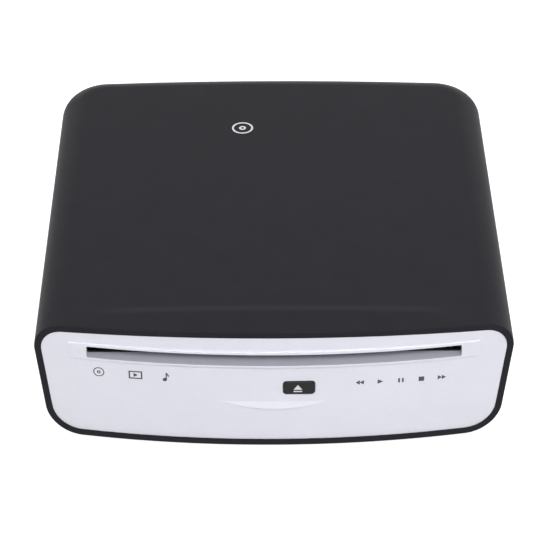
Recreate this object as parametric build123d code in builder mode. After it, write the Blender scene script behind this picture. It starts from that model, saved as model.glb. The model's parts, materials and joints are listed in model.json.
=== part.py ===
from build123d import *
import os
from math import atan2, cos, degrees, hypot, pi, radians, sin, sqrt, tan

# An external disc player with a front slot, lying flat, in millimetres.
# The origin is the middle of its footprint at the feet.
# +X is right seen from the front, +Y the back, +Z up.

# Case
case_width = 162.5
case_depth = 170.75
case_height = 48.5
foot_height = 1.5
wall = 2.3
side_taper = 6.0
top_round = 10.0
bottom_round = 12.8
rear_corner = 17.5
top_crown = 1.4
bottom_crown = 0.6
front_bow = 7.8
seam_drop = 0.4
seam_height = 0.5
seam_depth = 0.4
lip_height = 1.8
lip_shoulder = 2.2
lip_thickness = 1.0
lip_gap = 0.45
lip_setback = 18.8
rim_round = 0.4
vent_count = 9
vent_width = 2.0
vent_length = 26.0
vent_pitch = 6.0

# Front panel
face_recess = 0.15
face_gap = 0.12
face_thickness = 2.2
lower_lean = 1.5
crease_height = 15.5
slot_width = 126.6
slot_height = 4.6
slot_drop = 11.0
slot_corner = 0.6
duct_margin = 0.1
duct_wall = 1.2
pad_width = 138.8
pad_height = 7.0
pad_rise = 1.0
pad_end_rise = 0.35
pad_round = 0.5
ledge_width = 36.0
ledge_height = 2.6
ledge_drop = 5.95
ledge_rise = 0.9
felt_thickness = 1.0
felt_height = 2.4

# Eject button
button_width = 10.8
button_height = 5.4
button_offset = 8.4
button_drop = 12.35
button_corner = 1.3
button_gap = 0.15
button_rise = 0.5
button_travel = 0.5
button_cap = 3.0
flange_thickness = 0.9
flange_margin = 1.0
button_board_width = 38.0
button_board_drop = 6.25
board_felt_gap = 0.9
button_board_offset = 6.0
button_board_setback = 8.4
board_post_margin = 1.0
board_thickness = 1.6
switch_size = 6.0
switch_depth = 3.5
plunger_radius = 1.6

# Disc and where it runs
disc_centre_y = 2.0
feed_drop = 1.85
seat_drop = 2.05

# Loader chassis
chassis_side_gap = 15.25
chassis_setback = 11.8
chassis_rear_gap = 9.3
chassis_drop = 20.5
cover_gap = 0.15
window_margin = 13.8
sheet = 1.0
bend_radius = 2.0
front_wall_height = 5.5
low_wall_drop = 2.5
wall_slope = 5.0
guide_seat_rise = 3.4
guide_screw_pitch = 20.0
bead_width = 4.0
lug_inset = 6.0
lug_width = 11.0
lug_front_y = -22.0
lug_rear_y = 46.0
mech_post_radius = 3.5

# Screws and clearances
screw_radius = 1.5
screw_head_radius = 2.7
screw_head_height = 1.8
small_screw_radius = 1.0
small_head_radius = 1.9
small_head_height = 1.1
thread_gap = 0.06
fit = 0.05
seat_gap = 0.05

# Case posts
post_radius = 3.1
post_screw_radius = 1.2
post_head_radius = 2.1
post_head_height = 1.6
post_screw_length = 12.0
post_web = 5.0
pilot_depth = 9.0
front_post_inset = 7.75
front_post_back = 5.15
rear_post_inset = 10.75
rear_post_back = 13.8
post_joint_height = 18.5

# Feed roller and its bracket
shaft_radius = 1.5
roller_radius = 4.0
roller_waist = 3.1
roller_end_gap = 2.0
roller_middle_gap = 2.0
roller_setback = 18.8
bracket_lever_y = 14.0
bracket_lever_z = 10.0
bracket_swing = 11.0
bracket_gap = 3.0
bracket_pin_radius = 1.5
cam_pin_radius = 1.2
cam_pin_y = -8.0
cam_pin_z = 0.4

# Gears and belt
gear_module = 0.6
roller_teeth = 14
idler_teeth = 16
pinion_teeth = 14
gear_thickness = 3.0
gear_gap = 1.0
pulley_gap = 0.6
pulley_radius = 7.4
motor_pulley_radius = 2.2
pulley_width = 3.2
belt_size = 1.0
train_turn = -26.25
motor_reach = 28.0
motor_rise = 8.5
motor_radius = 7.75
motor_flat = 12.0
motor_length = 20.0
motor_shaft_radius = 1.0

# Cam slide
slide_travel = 9.0
slide_gap = 1.2
slide_thickness = 1.2
slide_setback = 13.3
slide_tail = 15.0
slide_rise = 1.5
slide_height = 4.5
slide_head_height = 5.5
slide_stud_front_y = -30.0
slide_stud_behind_ear = 5.0
stud_radius = 1.3
stud_head_radius = 2.2
ramp_gap = 0.3

# Clamp
hinge_inset = 17.3
hinge_rise = 4.9
hinge_radius = 1.25
arm_rise = 4.3
arm_thickness = 1.2
arm_swing = 4.0
arm_half_width = 40.0
arm_nose_radius = 17.0
arm_flange_height = 1.8
puck_radius = 13.5
puck_neck_radius = 5.6
puck_cap_radius = 9.0
puck_recess_radius = 8.4
ear_y = 35.0
ear_width = 6.0

# Deck, spindle and pickup
deck_drop = 7.75
deck_thickness = 1.6
deck_half = 40.0
deck_front_reach = 22.0
deck_rear_gap = 10.8
damper_outset = 6.0
damper_front_inset = 8.0
damper_rear_inset = 15.0
damper_radius = 5.0
damper_margin = 1.5
damper_hole = 2.1
turntable_radius = 14.5
turntable_thickness = 1.5
cone_radius = 7.4
cone_height = 1.8
ring_width = 3.6
ring_thickness = 0.5
spindle_radius = 1.0
spindle_motor_radius = 11.5
spindle_motor_height = 7.0
rod_radius = 1.5
rod_x = 20.0
rod_drop = 2.9
sled_length = 20.0
sled_half_width = 24.0
sled_drop = 7.0
sled_thickness = 7.3
lens_start = 24.0
lens_radius = 2.2
lens_clearance = 1.7
lens_travel = 0.5
lead_inset = 6.0
lead_drop = 4.8
lead_radius = 1.25
lead_pitch = 3.0
thread_half = 0.5
thread_depth = 0.25
nut_length = 8.0
nut_margin = 3.0
sled_motor_radius = 4.7
sled_motor_length = 13.0
bearing_length = 2.6

# Main board and sockets
board_side_gap = 22.25
board_length = 105.5
board_edge_gap = 2.14
board_drop = 9.25
board_hole_inset = 5.0
socket_inset = 3.7
usb_x = -34.0
usb_width = 14.4
usb_depth = 14.0
usb_body_height = 7.0
jack_x = 30.0
jack_width = 9.0
jack_depth = 13.0
jack_body_height = 7.2
jack_bore = 2.9
jack_pin = 1.0
av_x = 6.0
av_width = 7.0
av_depth = 12.0
av_body_height = 6.4
av_bore = 1.8
socket_gap = 0.3

# Feet
foot_radius = 5.0
foot_pocket = 0.9
foot_side_inset = 23.25
foot_setback = 28.8
foot_rear_inset = 23.8


def bow_radius(half_span, rise):
    """The radius of an arc that rises by that much over half its span."""
    return (half_span ** 2 + rise ** 2) / (2 * rise)


def fall_back(radius, x):
    """How far an arc of that radius lies behind its foremost point at x."""
    return radius - sqrt(radius ** 2 - x ** 2)


# Places that follow from the case. Sizes named drop, rise, gap, inset and setback start at its surfaces.
half_width = case_width / 2
case_top = foot_height + case_height
parting_z = case_top - top_crown - top_round - seam_drop
rear_y = (case_depth + pad_rise - face_recess) / 2
rim_y = rear_y - case_depth
face_y = rim_y + face_recess
front_radius = bow_radius(half_width, front_bow)
face_radius = front_radius
slot_z = case_top - slot_drop
feed_z = slot_z - feed_drop
button_z = slot_z - button_drop
floor_z = slot_z - chassis_drop
deck_z = feed_z - deck_drop
board_z = floor_z - board_drop
chassis_half = half_width - chassis_side_gap
chassis_front_y = face_y + chassis_setback
chassis_rear_y = rear_y - chassis_rear_gap
bracket_x = chassis_half - bracket_gap
gear_x = chassis_half + gear_gap
pulley_x = gear_x + gear_thickness + pulley_gap
slide_x = chassis_half + slide_gap
roller_y = face_y + roller_setback
roller_length = bracket_x - roller_middle_gap - roller_end_gap
deck_front_y = disc_centre_y - deck_front_reach
deck_rear_y = rear_y - deck_rear_gap
damper_x = deck_half + damper_outset
lead_x = deck_half - lead_inset
damper_front_y = deck_front_y + damper_front_inset
damper_rear_y = deck_rear_y - damper_rear_inset
board_width = case_width - 2 * board_side_gap
tray_floor_z = foot_height + wall
tray_round = bottom_round - wall
tray_lean = (parting_z - tray_floor_z) * tan(radians(side_taper))
tray_flat_y = rear_y - wall - tray_lean - tray_round * tan(radians(45 - side_taper / 2))
tray_board_y = tray_flat_y + sqrt(tray_round ** 2 - (tray_round + tray_floor_z - board_z) ** 2)
board_rear_y = tray_board_y - board_edge_gap
board_front_y = board_rear_y - board_length
button_board_y = face_y + button_board_setback
lip_front_y = face_y + lip_setback
foot_x = half_width - foot_side_inset
foot_front_y = face_y + foot_setback
foot_rear_y = rear_y - foot_rear_inset
reach = 30.0


def plan_outline(inset):
    """Draws the case's plan: open towards the front, with round rear corners."""
    front_y = rim_y - reach
    with Locations((0, (rear_y - inset + front_y) / 2)):
        plan = Rectangle(case_width - 2 * inset, rear_y - inset - front_y)
    fillet(plan.vertices().group_by(Axis.Y)[-1], rear_corner - inset)


def case_form(inset):
    """The case's outer form, or the same form moved inwards, running past the front."""
    top_radius = bow_radius(half_width - top_round, top_crown)
    bottom_radius = bow_radius(half_width - bottom_round, bottom_crown)
    with BuildPart() as form:
        with BuildSketch(Plane.XY.offset(parting_z)):
            plan_outline(inset)
        extrude(amount=-(parting_z - foot_height + bottom_crown), taper=side_taper)
        with BuildSketch(Plane.XY.offset(parting_z)):
            plan_outline(inset)
        extrude(amount=case_top - parting_z)
        with BuildSketch(Plane.XZ.offset(-rear_y - reach)):
            with Locations((0, case_top - top_radius)):
                Circle(top_radius - inset)
            with Locations((0, foot_height + bottom_radius)):
                Circle(bottom_radius - inset, mode=Mode.INTERSECT)
        extrude(amount=case_depth + 3 * reach, mode=Mode.INTERSECT)
        top_edges = form.faces().sort_by(Axis.Z)[-1].edges().sort_by(Axis.Y)[1:]
        fillet(top_edges, top_round - inset)
        bottom_edges = form.faces().sort_by(Axis.Z)[0].edges().sort_by(Axis.Y)[1:]
        fillet(bottom_edges, bottom_round - inset)
    return form.part


def behind_bow(front_y, radius):
    """A block whose front is an upright bowed wall."""
    with BuildPart() as block:
        with BuildSketch():
            with Locations((0, front_y + radius)):
                Circle(radius)
            with Locations((0, front_y + case_depth / 2)):
                Rectangle(2 * case_width, case_depth + 2 * reach, mode=Mode.INTERSECT)
        extrude(amount=2 * case_height, both=True)
    return block.part


def below_bow(front_y, radius, top_z, lean):
    """A round block hanging from top_z, whose bowed wall leans back by that angle going down."""
    with BuildPart() as block:
        with BuildSketch(Plane.XY.offset(top_z)):
            with Locations((0, front_y + radius)):
                Circle(radius)
        extrude(amount=-top_z, taper=lean)
    return block.part


def round_posts(points, low_z, high_z, radius):
    """Upright posts at those points."""
    with BuildPart() as posts:
        with Locations([(x, y, low_z) for x, y in points]):
            Cylinder(radius, high_z - low_z, align=(Align.CENTER, Align.CENTER, Align.MIN))
    return posts.part


def screws(points, seat_z, length, radius, head_radius, head_height, upwards=False):
    """Pan-head screws whose heads sit on seat_z; their shanks run down, or up if upwards."""
    way = 1 if upwards else -1
    with BuildPart() as group:
        for x, y in points:
            with BuildSketch(Plane.XY.offset(seat_z)):
                with Locations((x, y)):
                    Circle(radius)
            extrude(amount=way * length)
            with BuildSketch(Plane.XY.offset(seat_z)):
                with Locations((x, y)):
                    Circle(head_radius)
            extrude(amount=-way * head_height)
    return group.part


os.makedirs("parts", exist_ok=True)

outer_form = case_form(0)
cavity_form = case_form(wall)
front_block = behind_bow(rim_y, front_radius)

front_posts = [
    (side * (half_width - front_post_inset), rim_y + front_bow + front_post_back) for side in (-1, 1)
]
rear_posts = [(side * (half_width - rear_post_inset), rear_y - rear_post_back) for side in (-1, 1)]
case_posts = front_posts + rear_posts
lug_x = chassis_half + lug_inset
mech_posts = [(side * lug_x, y) for side in (-1, 1) for y in (lug_front_y, lug_rear_y)]
board_holes = [
    (side * (board_width / 2 - board_hole_inset), y)
    for side in (-1, 1)
    for y in (board_front_y + board_hole_inset, board_rear_y - board_hole_inset)
]
foot_points = [(side * foot_x, y) for side in (-1, 1) for y in (foot_front_y, foot_rear_y)]
post_joint_z = foot_height + post_joint_height
board_top_z = board_z + board_thickness
slot_top_z = slot_z + slot_height / 2
slot_bottom_z = slot_z - slot_height / 2
duct_half = slot_width / 2 + duct_wall
duct_depth = fall_back(face_radius, duct_half) + face_thickness + duct_margin
duct_back_y = face_y + duct_depth
underside_radius = bow_radius(half_width - bottom_round, bottom_crown)
pocket_z = foot_height + fall_back(underside_radius, foot_x) + foot_pocket

# Lower case: a deep tray whose walls lean inwards going down, with posts for cover, loader and board
socket_cuts = [
    (usb_x, usb_width, usb_body_height),
    (av_x, av_width, av_body_height),
    (jack_x, jack_width, jack_body_height),
]
with BuildPart() as tray_posts:
    add(round_posts(case_posts, foot_height, post_joint_z, post_radius))
    add(round_posts(mech_posts, foot_height, floor_z, mech_post_radius))
    add(round_posts(board_holes, foot_height, board_z, mech_post_radius))
    add(outer_form, mode=Mode.INTERSECT)
with BuildPart() as shell:
    add(outer_form)
    add(cavity_form, mode=Mode.SUBTRACT)
    add(front_block, mode=Mode.INTERSECT)
    fillet(shell.faces().sort_by(Axis.Y)[0].outer_wire().edges(), rim_round)
with BuildPart() as base_tray:
    add(shell.part)
    split(bisect_by=Plane.XY.offset(parting_z), keep=Keep.BOTTOM)
    with BuildSketch(Plane.XY.offset(parting_z)):
        plan_outline(-seam_depth)
        offset(amount=-2 * seam_depth, mode=Mode.SUBTRACT)
    extrude(amount=-seam_height, mode=Mode.SUBTRACT)
    add(tray_posts.part)
    with BuildSketch(Plane.XY.offset(post_joint_z)):
        with Locations(case_posts):
            Circle(post_screw_radius + thread_gap)
    extrude(amount=-2 * post_web, mode=Mode.SUBTRACT)
    with BuildSketch(Plane.XY.offset(post_joint_z - post_web)):
        with Locations(case_posts):
            Circle(post_head_radius + 2 * thread_gap)
    extrude(amount=-case_height, mode=Mode.SUBTRACT)
    with BuildSketch(Plane.XY.offset(floor_z)):
        with Locations(mech_posts):
            Circle(screw_radius + thread_gap)
    extrude(amount=-pilot_depth, mode=Mode.SUBTRACT)
    with BuildSketch(Plane.XY.offset(board_z)):
        with Locations(board_holes):
            Circle(small_screw_radius + thread_gap)
    extrude(amount=foot_height + wall / 2 - board_z, mode=Mode.SUBTRACT)
    with BuildSketch(Plane.XY.offset(pocket_z)):
        with Locations(foot_points):
            Circle(foot_radius + seat_gap)
    extrude(amount=-case_height, mode=Mode.SUBTRACT)
    with BuildSketch(Plane.XZ.offset(-rear_y - reach)):
        for cut_x, cut_width, cut_height in socket_cuts:
            with Locations((cut_x, board_top_z + cut_height / 2)):
                Rectangle(cut_width + 2 * socket_gap, cut_height + 2 * socket_gap)
    extrude(amount=reach + rear_y - board_rear_y, mode=Mode.SUBTRACT)
    with BuildSketch(Plane.XY.offset(foot_height)):
        with GridLocations(vent_pitch, 0, vent_count, 1):
            SlotOverall(vent_length, vent_width, rotation=90)
    extrude(amount=2 * wall, mode=Mode.SUBTRACT)
base_tray.part.label = "base_tray"
export_step(base_tray.part, "parts/base_tray.step")

# Upper case: crowned top and large rounded edges, with a lip inside the seam and four posts hanging down
with BuildPart() as cover_posts:
    add(round_posts(case_posts, post_joint_z + seat_gap, case_top, post_radius))
    add(outer_form, mode=Mode.INTERSECT)
with BuildPart() as cover_lip:
    with BuildSketch(Plane.XY.offset(parting_z - lip_height)):
        plan_outline(wall + lip_gap)
        offset(amount=-lip_thickness, mode=Mode.SUBTRACT)
    extrude(amount=lip_height + lip_shoulder)
    with BuildSketch(Plane.XY.offset(parting_z)):
        plan_outline(wall / 2)
        offset(amount=-wall / 2 - lip_gap - lip_thickness, mode=Mode.SUBTRACT)
    extrude(amount=lip_shoulder)
    split(bisect_by=Plane.XZ.offset(-lip_front_y), keep=Keep.BOTTOM)
with BuildPart() as top_cover:
    add(shell.part)
    split(bisect_by=Plane.XY.offset(parting_z), keep=Keep.TOP)
    add(cover_posts.part)
    add(cover_lip.part)
    with BuildSketch(Plane.XY.offset(post_joint_z)):
        with Locations(case_posts):
            Circle(post_screw_radius + thread_gap)
    extrude(amount=pilot_depth, mode=Mode.SUBTRACT)
top_cover.part.label = "top_cover"
export_step(top_cover.part, "parts/top_cover.step")

with BuildPart() as case_screws:
    add(
        screws(
            case_posts,
            post_joint_z - post_web,
            post_screw_length,
            post_screw_radius,
            post_head_radius,
            post_head_height,
            upwards=True,
        )
    )
case_screws.part.label = "case_screws"
export_step(case_screws.part, "parts/case_screws.step")

with BuildPart() as rubber_feet:
    with BuildSketch():
        with Locations(foot_points):
            Circle(foot_radius)
    extrude(amount=pocket_z - seat_gap)
    chamfer(rubber_feet.edges().group_by(Axis.Z)[0], foot_radius / 10)
rubber_feet.part.label = "rubber_feet"
export_step(rubber_feet.part, "parts/rubber_feet.step")

# Front panel: a bowed plate that fills the case's mouth, with the slot in a raised surround
pad_radius = bow_radius(pad_width / 2, pad_rise - pad_end_rise + fall_back(face_radius, pad_width / 2))
ledge_z = button_z - ledge_drop
crease_z = foot_height + crease_height
button_face_y = face_y + fall_back(face_radius, button_offset)
button_point = (button_offset, button_z)
board_post_reach = button_board_width / 2 - small_head_radius - board_post_margin
board_post_points = [(button_board_offset + side * board_post_reach, button_z) for side in (-1, 1)]
with BuildPart() as slot_pad:
    with BuildSketch(Plane.XZ.offset(-duct_back_y)):
        with Locations((0, slot_z)):
            Rectangle(pad_width, pad_height)
    extrude(amount=2 * duct_depth)
    add(behind_bow(face_y - pad_rise, pad_radius), mode=Mode.INTERSECT)
    front_edges = slot_pad.faces().sort_by(Axis.Y)[0].edges().filter_by(GeomType.LINE, reverse=True)
    fillet(front_edges, pad_round)
    add(behind_bow(face_y + face_thickness / 2, face_radius), mode=Mode.SUBTRACT)
with BuildPart() as finger_ledge:
    with BuildSketch(Plane.XZ.offset(-face_y - face_thickness)):
        with BuildLine():
            ledge_line = Line((-ledge_width / 2, ledge_z), (ledge_width / 2, ledge_z))
            ThreePointArc(ledge_line @ 0, (0, ledge_z - ledge_height), ledge_line @ 1)
        make_face()
    extrude(amount=duct_depth)
    ledge_lean = -degrees(atan2(ledge_rise, ledge_height))
    add(below_bow(face_y, face_radius, ledge_z, ledge_lean), mode=Mode.INTERSECT)
with BuildPart() as leaning_strip:
    with BuildSketch(Plane.XZ.offset(-face_y - face_thickness)):
        with Locations((0, crease_z)):
            Rectangle(case_width, case_height, align=(Align.CENTER, Align.MAX))
    extrude(amount=reach, both=True)
    add(below_bow(face_y, face_radius, crease_z, lower_lean), mode=Mode.SUBTRACT)
with BuildPart() as face_fittings:
    with BuildSketch(Plane.XZ.offset(-duct_back_y)):
        with Locations((0, slot_z)):
            Rectangle(2 * duct_half, slot_height + 2 * duct_wall)
    extrude(amount=duct_depth)
    with BuildSketch(Plane.XZ.offset(-button_board_y)):
        with Locations(board_post_points):
            Circle(small_head_radius + seat_gap)
    extrude(amount=button_board_y - face_y)
    add(behind_bow(face_y + face_thickness / 2, face_radius), mode=Mode.INTERSECT)
with BuildPart() as faceplate:
    with BuildSketch():
        with Locations((0, face_y + face_radius)):
            Circle(face_radius)
            Circle(face_radius - face_thickness, mode=Mode.SUBTRACT)
    extrude(amount=case_top)
    add(case_form(wall + face_gap), mode=Mode.INTERSECT)
    add(leaning_strip.part, mode=Mode.SUBTRACT)
    add(slot_pad.part)
    add(finger_ledge.part)
    add(face_fittings.part)
    with BuildSketch(Plane.XZ.offset(-duct_back_y)):
        with Locations((0, slot_z)):
            RectangleRounded(slot_width, slot_height, slot_corner)
        with Locations(button_point):
            RectangleRounded(button_width + 2 * button_gap, button_height + 2 * button_gap, button_corner)
    extrude(amount=reach, mode=Mode.SUBTRACT)
    with BuildSketch(Plane.XZ.offset(-button_board_y)):
        with Locations(board_post_points):
            Circle(small_screw_radius + thread_gap)
    extrude(amount=pilot_depth / 2, mode=Mode.SUBTRACT)
faceplate.part.label = "faceplate"
export_step(faceplate.part, "parts/faceplate.step")

with BuildPart() as slot_felts:
    with BuildSketch(Plane.XZ.offset(-duct_back_y)):
        for felt_z in (slot_top_z + felt_height / 2, slot_bottom_z - felt_height / 2):
            with Locations((0, felt_z)):
                Rectangle(slot_width, felt_height)
    extrude(amount=-felt_thickness)
slot_felts.part.label = "slot_felts"
export_step(slot_felts.part, "parts/slot_felts.step")

# Eject button: a cap with a flange behind the panel and a tail that reaches the switch
cap_back_y = button_face_y - button_rise + button_cap
tail_y = button_board_y - switch_depth - button_travel - fit
with BuildPart() as eject_button:
    with BuildSketch(Plane.XZ.offset(-cap_back_y)):
        with Locations(button_point):
            RectangleRounded(button_width, button_height, button_corner)
    extrude(amount=button_cap)
    fillet(eject_button.faces().sort_by(Axis.Y)[0].edges(), button_corner / 3)
    with BuildSketch(Plane.XZ.offset(-cap_back_y)):
        with Locations(button_point):
            RectangleRounded(
                button_width + 2 * flange_margin, button_height + 2 * flange_margin, button_corner
            )
    extrude(amount=-flange_thickness)
    with BuildSketch(Plane.XZ.offset(-tail_y)):
        with Locations(button_point):
            Circle(plunger_radius + flange_margin / 2)
    extrude(amount=tail_y - cap_back_y)
eject_button.part.label = "eject_button"
export_step(eject_button.part, "parts/eject_button.step")

with BuildPart() as switch_plunger:
    with BuildSketch(Plane.XZ.offset(-button_board_y + switch_depth / 2)):
        with Locations(button_point):
            Circle(plunger_radius)
    extrude(amount=button_board_y - switch_depth / 2 - tail_y)
switch_plunger.part.label = "switch_plunger"
export_step(switch_plunger.part, "parts/switch_plunger.step")

with BuildPart() as tact_switch:
    with BuildSketch(Plane.XZ.offset(-button_board_y)):
        with Locations(button_point):
            Rectangle(switch_size, switch_size)
    extrude(amount=switch_depth)
    chamfer(tact_switch.edges().filter_by(Axis.Y), switch_size / 10)
    with BuildSketch(Plane.XZ.offset(-button_board_y + switch_depth / 2 - button_travel - fit)):
        with Locations(button_point):
            Circle(plunger_radius + fit)
    extrude(amount=switch_depth, mode=Mode.SUBTRACT)
tact_switch.part.label = "tact_switch"
export_step(tact_switch.part, "parts/tact_switch.step")

# Its board ends below the lower felt
board_low_z = button_z - button_board_drop
board_high_z = slot_bottom_z - felt_height - board_felt_gap
with BuildPart() as button_board:
    with BuildSketch(Plane.XZ.offset(-button_board_y)):
        with Locations((button_board_offset, (board_low_z + board_high_z) / 2)):
            RectangleRounded(button_board_width, board_high_z - board_low_z, button_corner)
        with Locations(board_post_points):
            Circle(small_screw_radius + thread_gap, mode=Mode.SUBTRACT)
    extrude(amount=-board_thickness)
button_board.part.label = "button_board"
export_step(button_board.part, "parts/button_board.step")

with BuildPart() as button_board_screws:
    with BuildSketch(Plane.XZ.offset(-button_board_y - board_thickness)):
        with Locations(board_post_points):
            Circle(small_screw_radius)
    extrude(amount=board_thickness + pilot_depth / 3)
    with BuildSketch(Plane.XZ.offset(-button_board_y - board_thickness)):
        with Locations(board_post_points):
            Circle(small_head_radius)
    extrude(amount=-small_head_height)
button_board_screws.part.label = "button_board_screws"
export_step(button_board_screws.part, "parts/button_board_screws.step")

# Places in the loader, seen from the right side as (y, z)
roller_z = feed_z - roller_radius
pivot = (roller_y + bracket_lever_y, roller_z - bracket_lever_z)
idler_distance = gear_module * (roller_teeth + idler_teeth) / 2
idler_turn = degrees(atan2(bracket_lever_y, bracket_lever_z))
idler = (
    roller_y + idler_distance * cos(radians(idler_turn)),
    roller_z + idler_distance * sin(radians(idler_turn)),
)
pinion_distance = gear_module * (idler_teeth + pinion_teeth) / 2
pulley = (
    idler[0] + pinion_distance * cos(radians(train_turn)),
    idler[1] + pinion_distance * sin(radians(train_turn)),
)
motor = (roller_y + motor_reach, floor_z + motor_rise)
floor_top_z = floor_z + sheet
guide_seat_z = slot_z + guide_seat_rise
low_wall_z = slot_z - low_wall_drop
hinge = (rear_y - hinge_inset, slot_z + hinge_rise)


def swung(point, centre, angle):
    """Where a point gets to when it turns about centre by that many degrees."""
    turn = radians(angle)
    dy, dz = point[0] - centre[0], point[1] - centre[1]
    return (
        centre[0] + dy * cos(turn) - dz * sin(turn),
        centre[1] + dy * sin(turn) + dz * cos(turn),
    )


cam_pin = (pivot[0] + cam_pin_y, pivot[1] + cam_pin_z)
lowered_pin = swung(cam_pin, pivot, bracket_swing)
lowered_roller = swung((roller_y, roller_z), pivot, bracket_swing)


def rods_along_x(points, low_x, high_x, radius):
    """Round rods from low_x to high_x at those (y, z) points."""
    with BuildPart() as rods:
        with BuildSketch(Plane.YZ.offset(low_x)):
            with Locations(points):
                Circle(radius)
        extrude(amount=high_x - low_x)
    return rods.part


def track(start, end, radius, mode=Mode.ADD):
    """Draws a round-ended slot between two points in the open sketch, or cuts it."""
    middle = ((start[0] + end[0]) / 2, (start[1] + end[1]) / 2)
    angle = degrees(atan2(end[1] - start[1], end[0] - start[0]))
    with Locations(middle):
        SlotCenterToCenter(hypot(end[0] - start[0], end[1] - start[1]), 2 * radius, angle, mode=mode)


# Loader chassis: folded sheet with upright sides, pressed lugs, windows and riveted studs
slide_low_z = floor_z + slide_rise
slide_mid_z = slide_low_z + slide_height / 2
slide_studs = [(y, slide_mid_z) for y in (slide_stud_front_y, ear_y + slide_stud_behind_ear)]
wall_low_x = chassis_half - sheet
damper_points = [(side * damper_x, y) for side in (-1, 1) for y in (damper_front_y, damper_rear_y)]
guide_screw_x = wall_low_x - small_head_radius - fit
guide_screw_points = [
    (side * guide_screw_x, y) for side in (-1, 1) for y in (roller_y, roller_y + guide_screw_pitch)
]
ear_radius = 2 * hinge_radius - fit
cover_radius = bow_radius(half_width - top_round, top_crown) - wall
wall_top_z = case_top - wall - fall_back(cover_radius, chassis_half) - cover_gap
window_length = damper_rear_y - damper_front_y - 2 * window_margin
with BuildPart() as mech_chassis:
    with BuildSketch(Plane.XZ.offset(-chassis_rear_y)):
        with BuildLine():
            FilletPolyline(
                (-chassis_half, wall_top_z),
                (-chassis_half, floor_z),
                (chassis_half, floor_z),
                (chassis_half, wall_top_z),
                radius=bend_radius,
            )
            offset(amount=sheet, side=Side.LEFT)
        make_face()
    extrude(amount=chassis_rear_y - chassis_front_y)
    with BuildSketch(Plane.YZ.offset(-case_width)):
        Polygon(
            (chassis_front_y, case_top),
            (chassis_front_y, guide_seat_z),
            (guide_screw_points[1][1] + wall_slope, guide_seat_z),
            (guide_screw_points[1][1] + 2 * wall_slope, low_wall_z),
            (hinge[0] - 2 * wall_slope, low_wall_z),
            (hinge[0] - ear_radius, wall_top_z),
            (hinge[0] - ear_radius, case_top),
        )
        Polygon(
            (hinge[0] + ear_radius, case_top),
            (hinge[0] + ear_radius, wall_top_z),
            (chassis_rear_y, low_wall_z),
            (chassis_rear_y, case_top),
        )
    extrude(amount=2 * case_width, mode=Mode.SUBTRACT)
    with BuildSketch(Plane.XY.offset(floor_z)):
        for side in (-1, 1):
            for lug_y in (lug_front_y, lug_rear_y):
                with Locations((side * (chassis_half + lug_x) / 2, lug_y)):
                    Rectangle(lug_x - chassis_half + 2 * bend_radius, lug_width)
                with Locations((side * lug_x, lug_y)):
                    Circle(mech_post_radius)
    extrude(amount=sheet)
    with BuildSketch(Plane.XY.offset(floor_z)):
        with Locations((0, (damper_front_y + damper_rear_y) / 2)):
            RectangleRounded(2 * (damper_x - 2 * damper_radius), window_length, bend_radius)
        with Locations((0, (chassis_front_y + deck_front_y) / 2)):
            RectangleRounded(2 * deck_half, (deck_front_y - chassis_front_y) / 2, bend_radius)
        with Locations(mech_posts):
            Circle(screw_radius + thread_gap)
    extrude(amount=sheet, mode=Mode.SUBTRACT)
    with BuildSketch(Plane.XZ.offset(-chassis_front_y)):
        with Locations((0, floor_z)):
            Rectangle(2 * wall_low_x, front_wall_height, align=(Align.CENTER, Align.MIN))
    extrude(amount=-sheet)
    with BuildSketch(Plane.XZ.offset(-chassis_rear_y)):
        with Locations((0, floor_z)):
            Rectangle(2 * wall_low_x, low_wall_z - floor_z - wall_slope, align=(Align.CENTER, Align.MIN))
    extrude(amount=sheet)
    with BuildSketch(Plane.YZ.offset(-case_width)):
        with Locations(hinge):
            Circle(hinge_radius + fit)
        with Locations(pivot):
            Circle(bracket_pin_radius + fit)
    extrude(amount=2 * case_width, mode=Mode.SUBTRACT)
    with BuildSketch(Plane.YZ.offset(wall_low_x)):
        track((roller_y, roller_z), lowered_roller, shaft_radius + ramp_gap)
        track(cam_pin, lowered_pin, cam_pin_radius + ramp_gap)
        with Locations(motor):
            Circle(3 * motor_shaft_radius + ramp_gap)
    extrude(amount=2 * sheet, mode=Mode.SUBTRACT)
    for side in (-1, 1):
        with BuildSketch(Plane.XY.offset(guide_seat_z)):
            for _, tab_y in guide_screw_points[:2]:
                with Locations((side * (wall_low_x - small_head_radius), tab_y)):
                    Rectangle(2 * small_head_radius + 2 * fit, lug_width)
                with Locations((side * (wall_low_x - small_head_radius - fit), tab_y)):
                    Circle(small_screw_radius + fit, mode=Mode.SUBTRACT)
        extrude(amount=-sheet)
    add(rods_along_x([idler], chassis_half, gear_x + gear_thickness + sheet / 2, shaft_radius))
    add(rods_along_x([pulley], chassis_half, pulley_x + pulley_width + sheet / 2, shaft_radius))
    add(rods_along_x(slide_studs, chassis_half, slide_x - 2 * fit, stud_head_radius))
    stud_end_x = slide_x + slide_thickness + 2 * fit
    add(rods_along_x(slide_studs, stud_end_x, stud_end_x + sheet / 2, stud_head_radius))
    add(rods_along_x(slide_studs, chassis_half, stud_end_x, stud_radius))
mech_chassis.part.label = "mech_chassis"
export_step(mech_chassis.part, "parts/mech_chassis.step")

with BuildPart() as mech_screws:
    add(
        screws(
            mech_posts,
            floor_top_z,
            pilot_depth - sheet,
            screw_radius,
            screw_head_radius,
            screw_head_height,
        )
    )
mech_screws.part.label = "mech_screws"
export_step(mech_screws.part, "parts/mech_screws.step")

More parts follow.
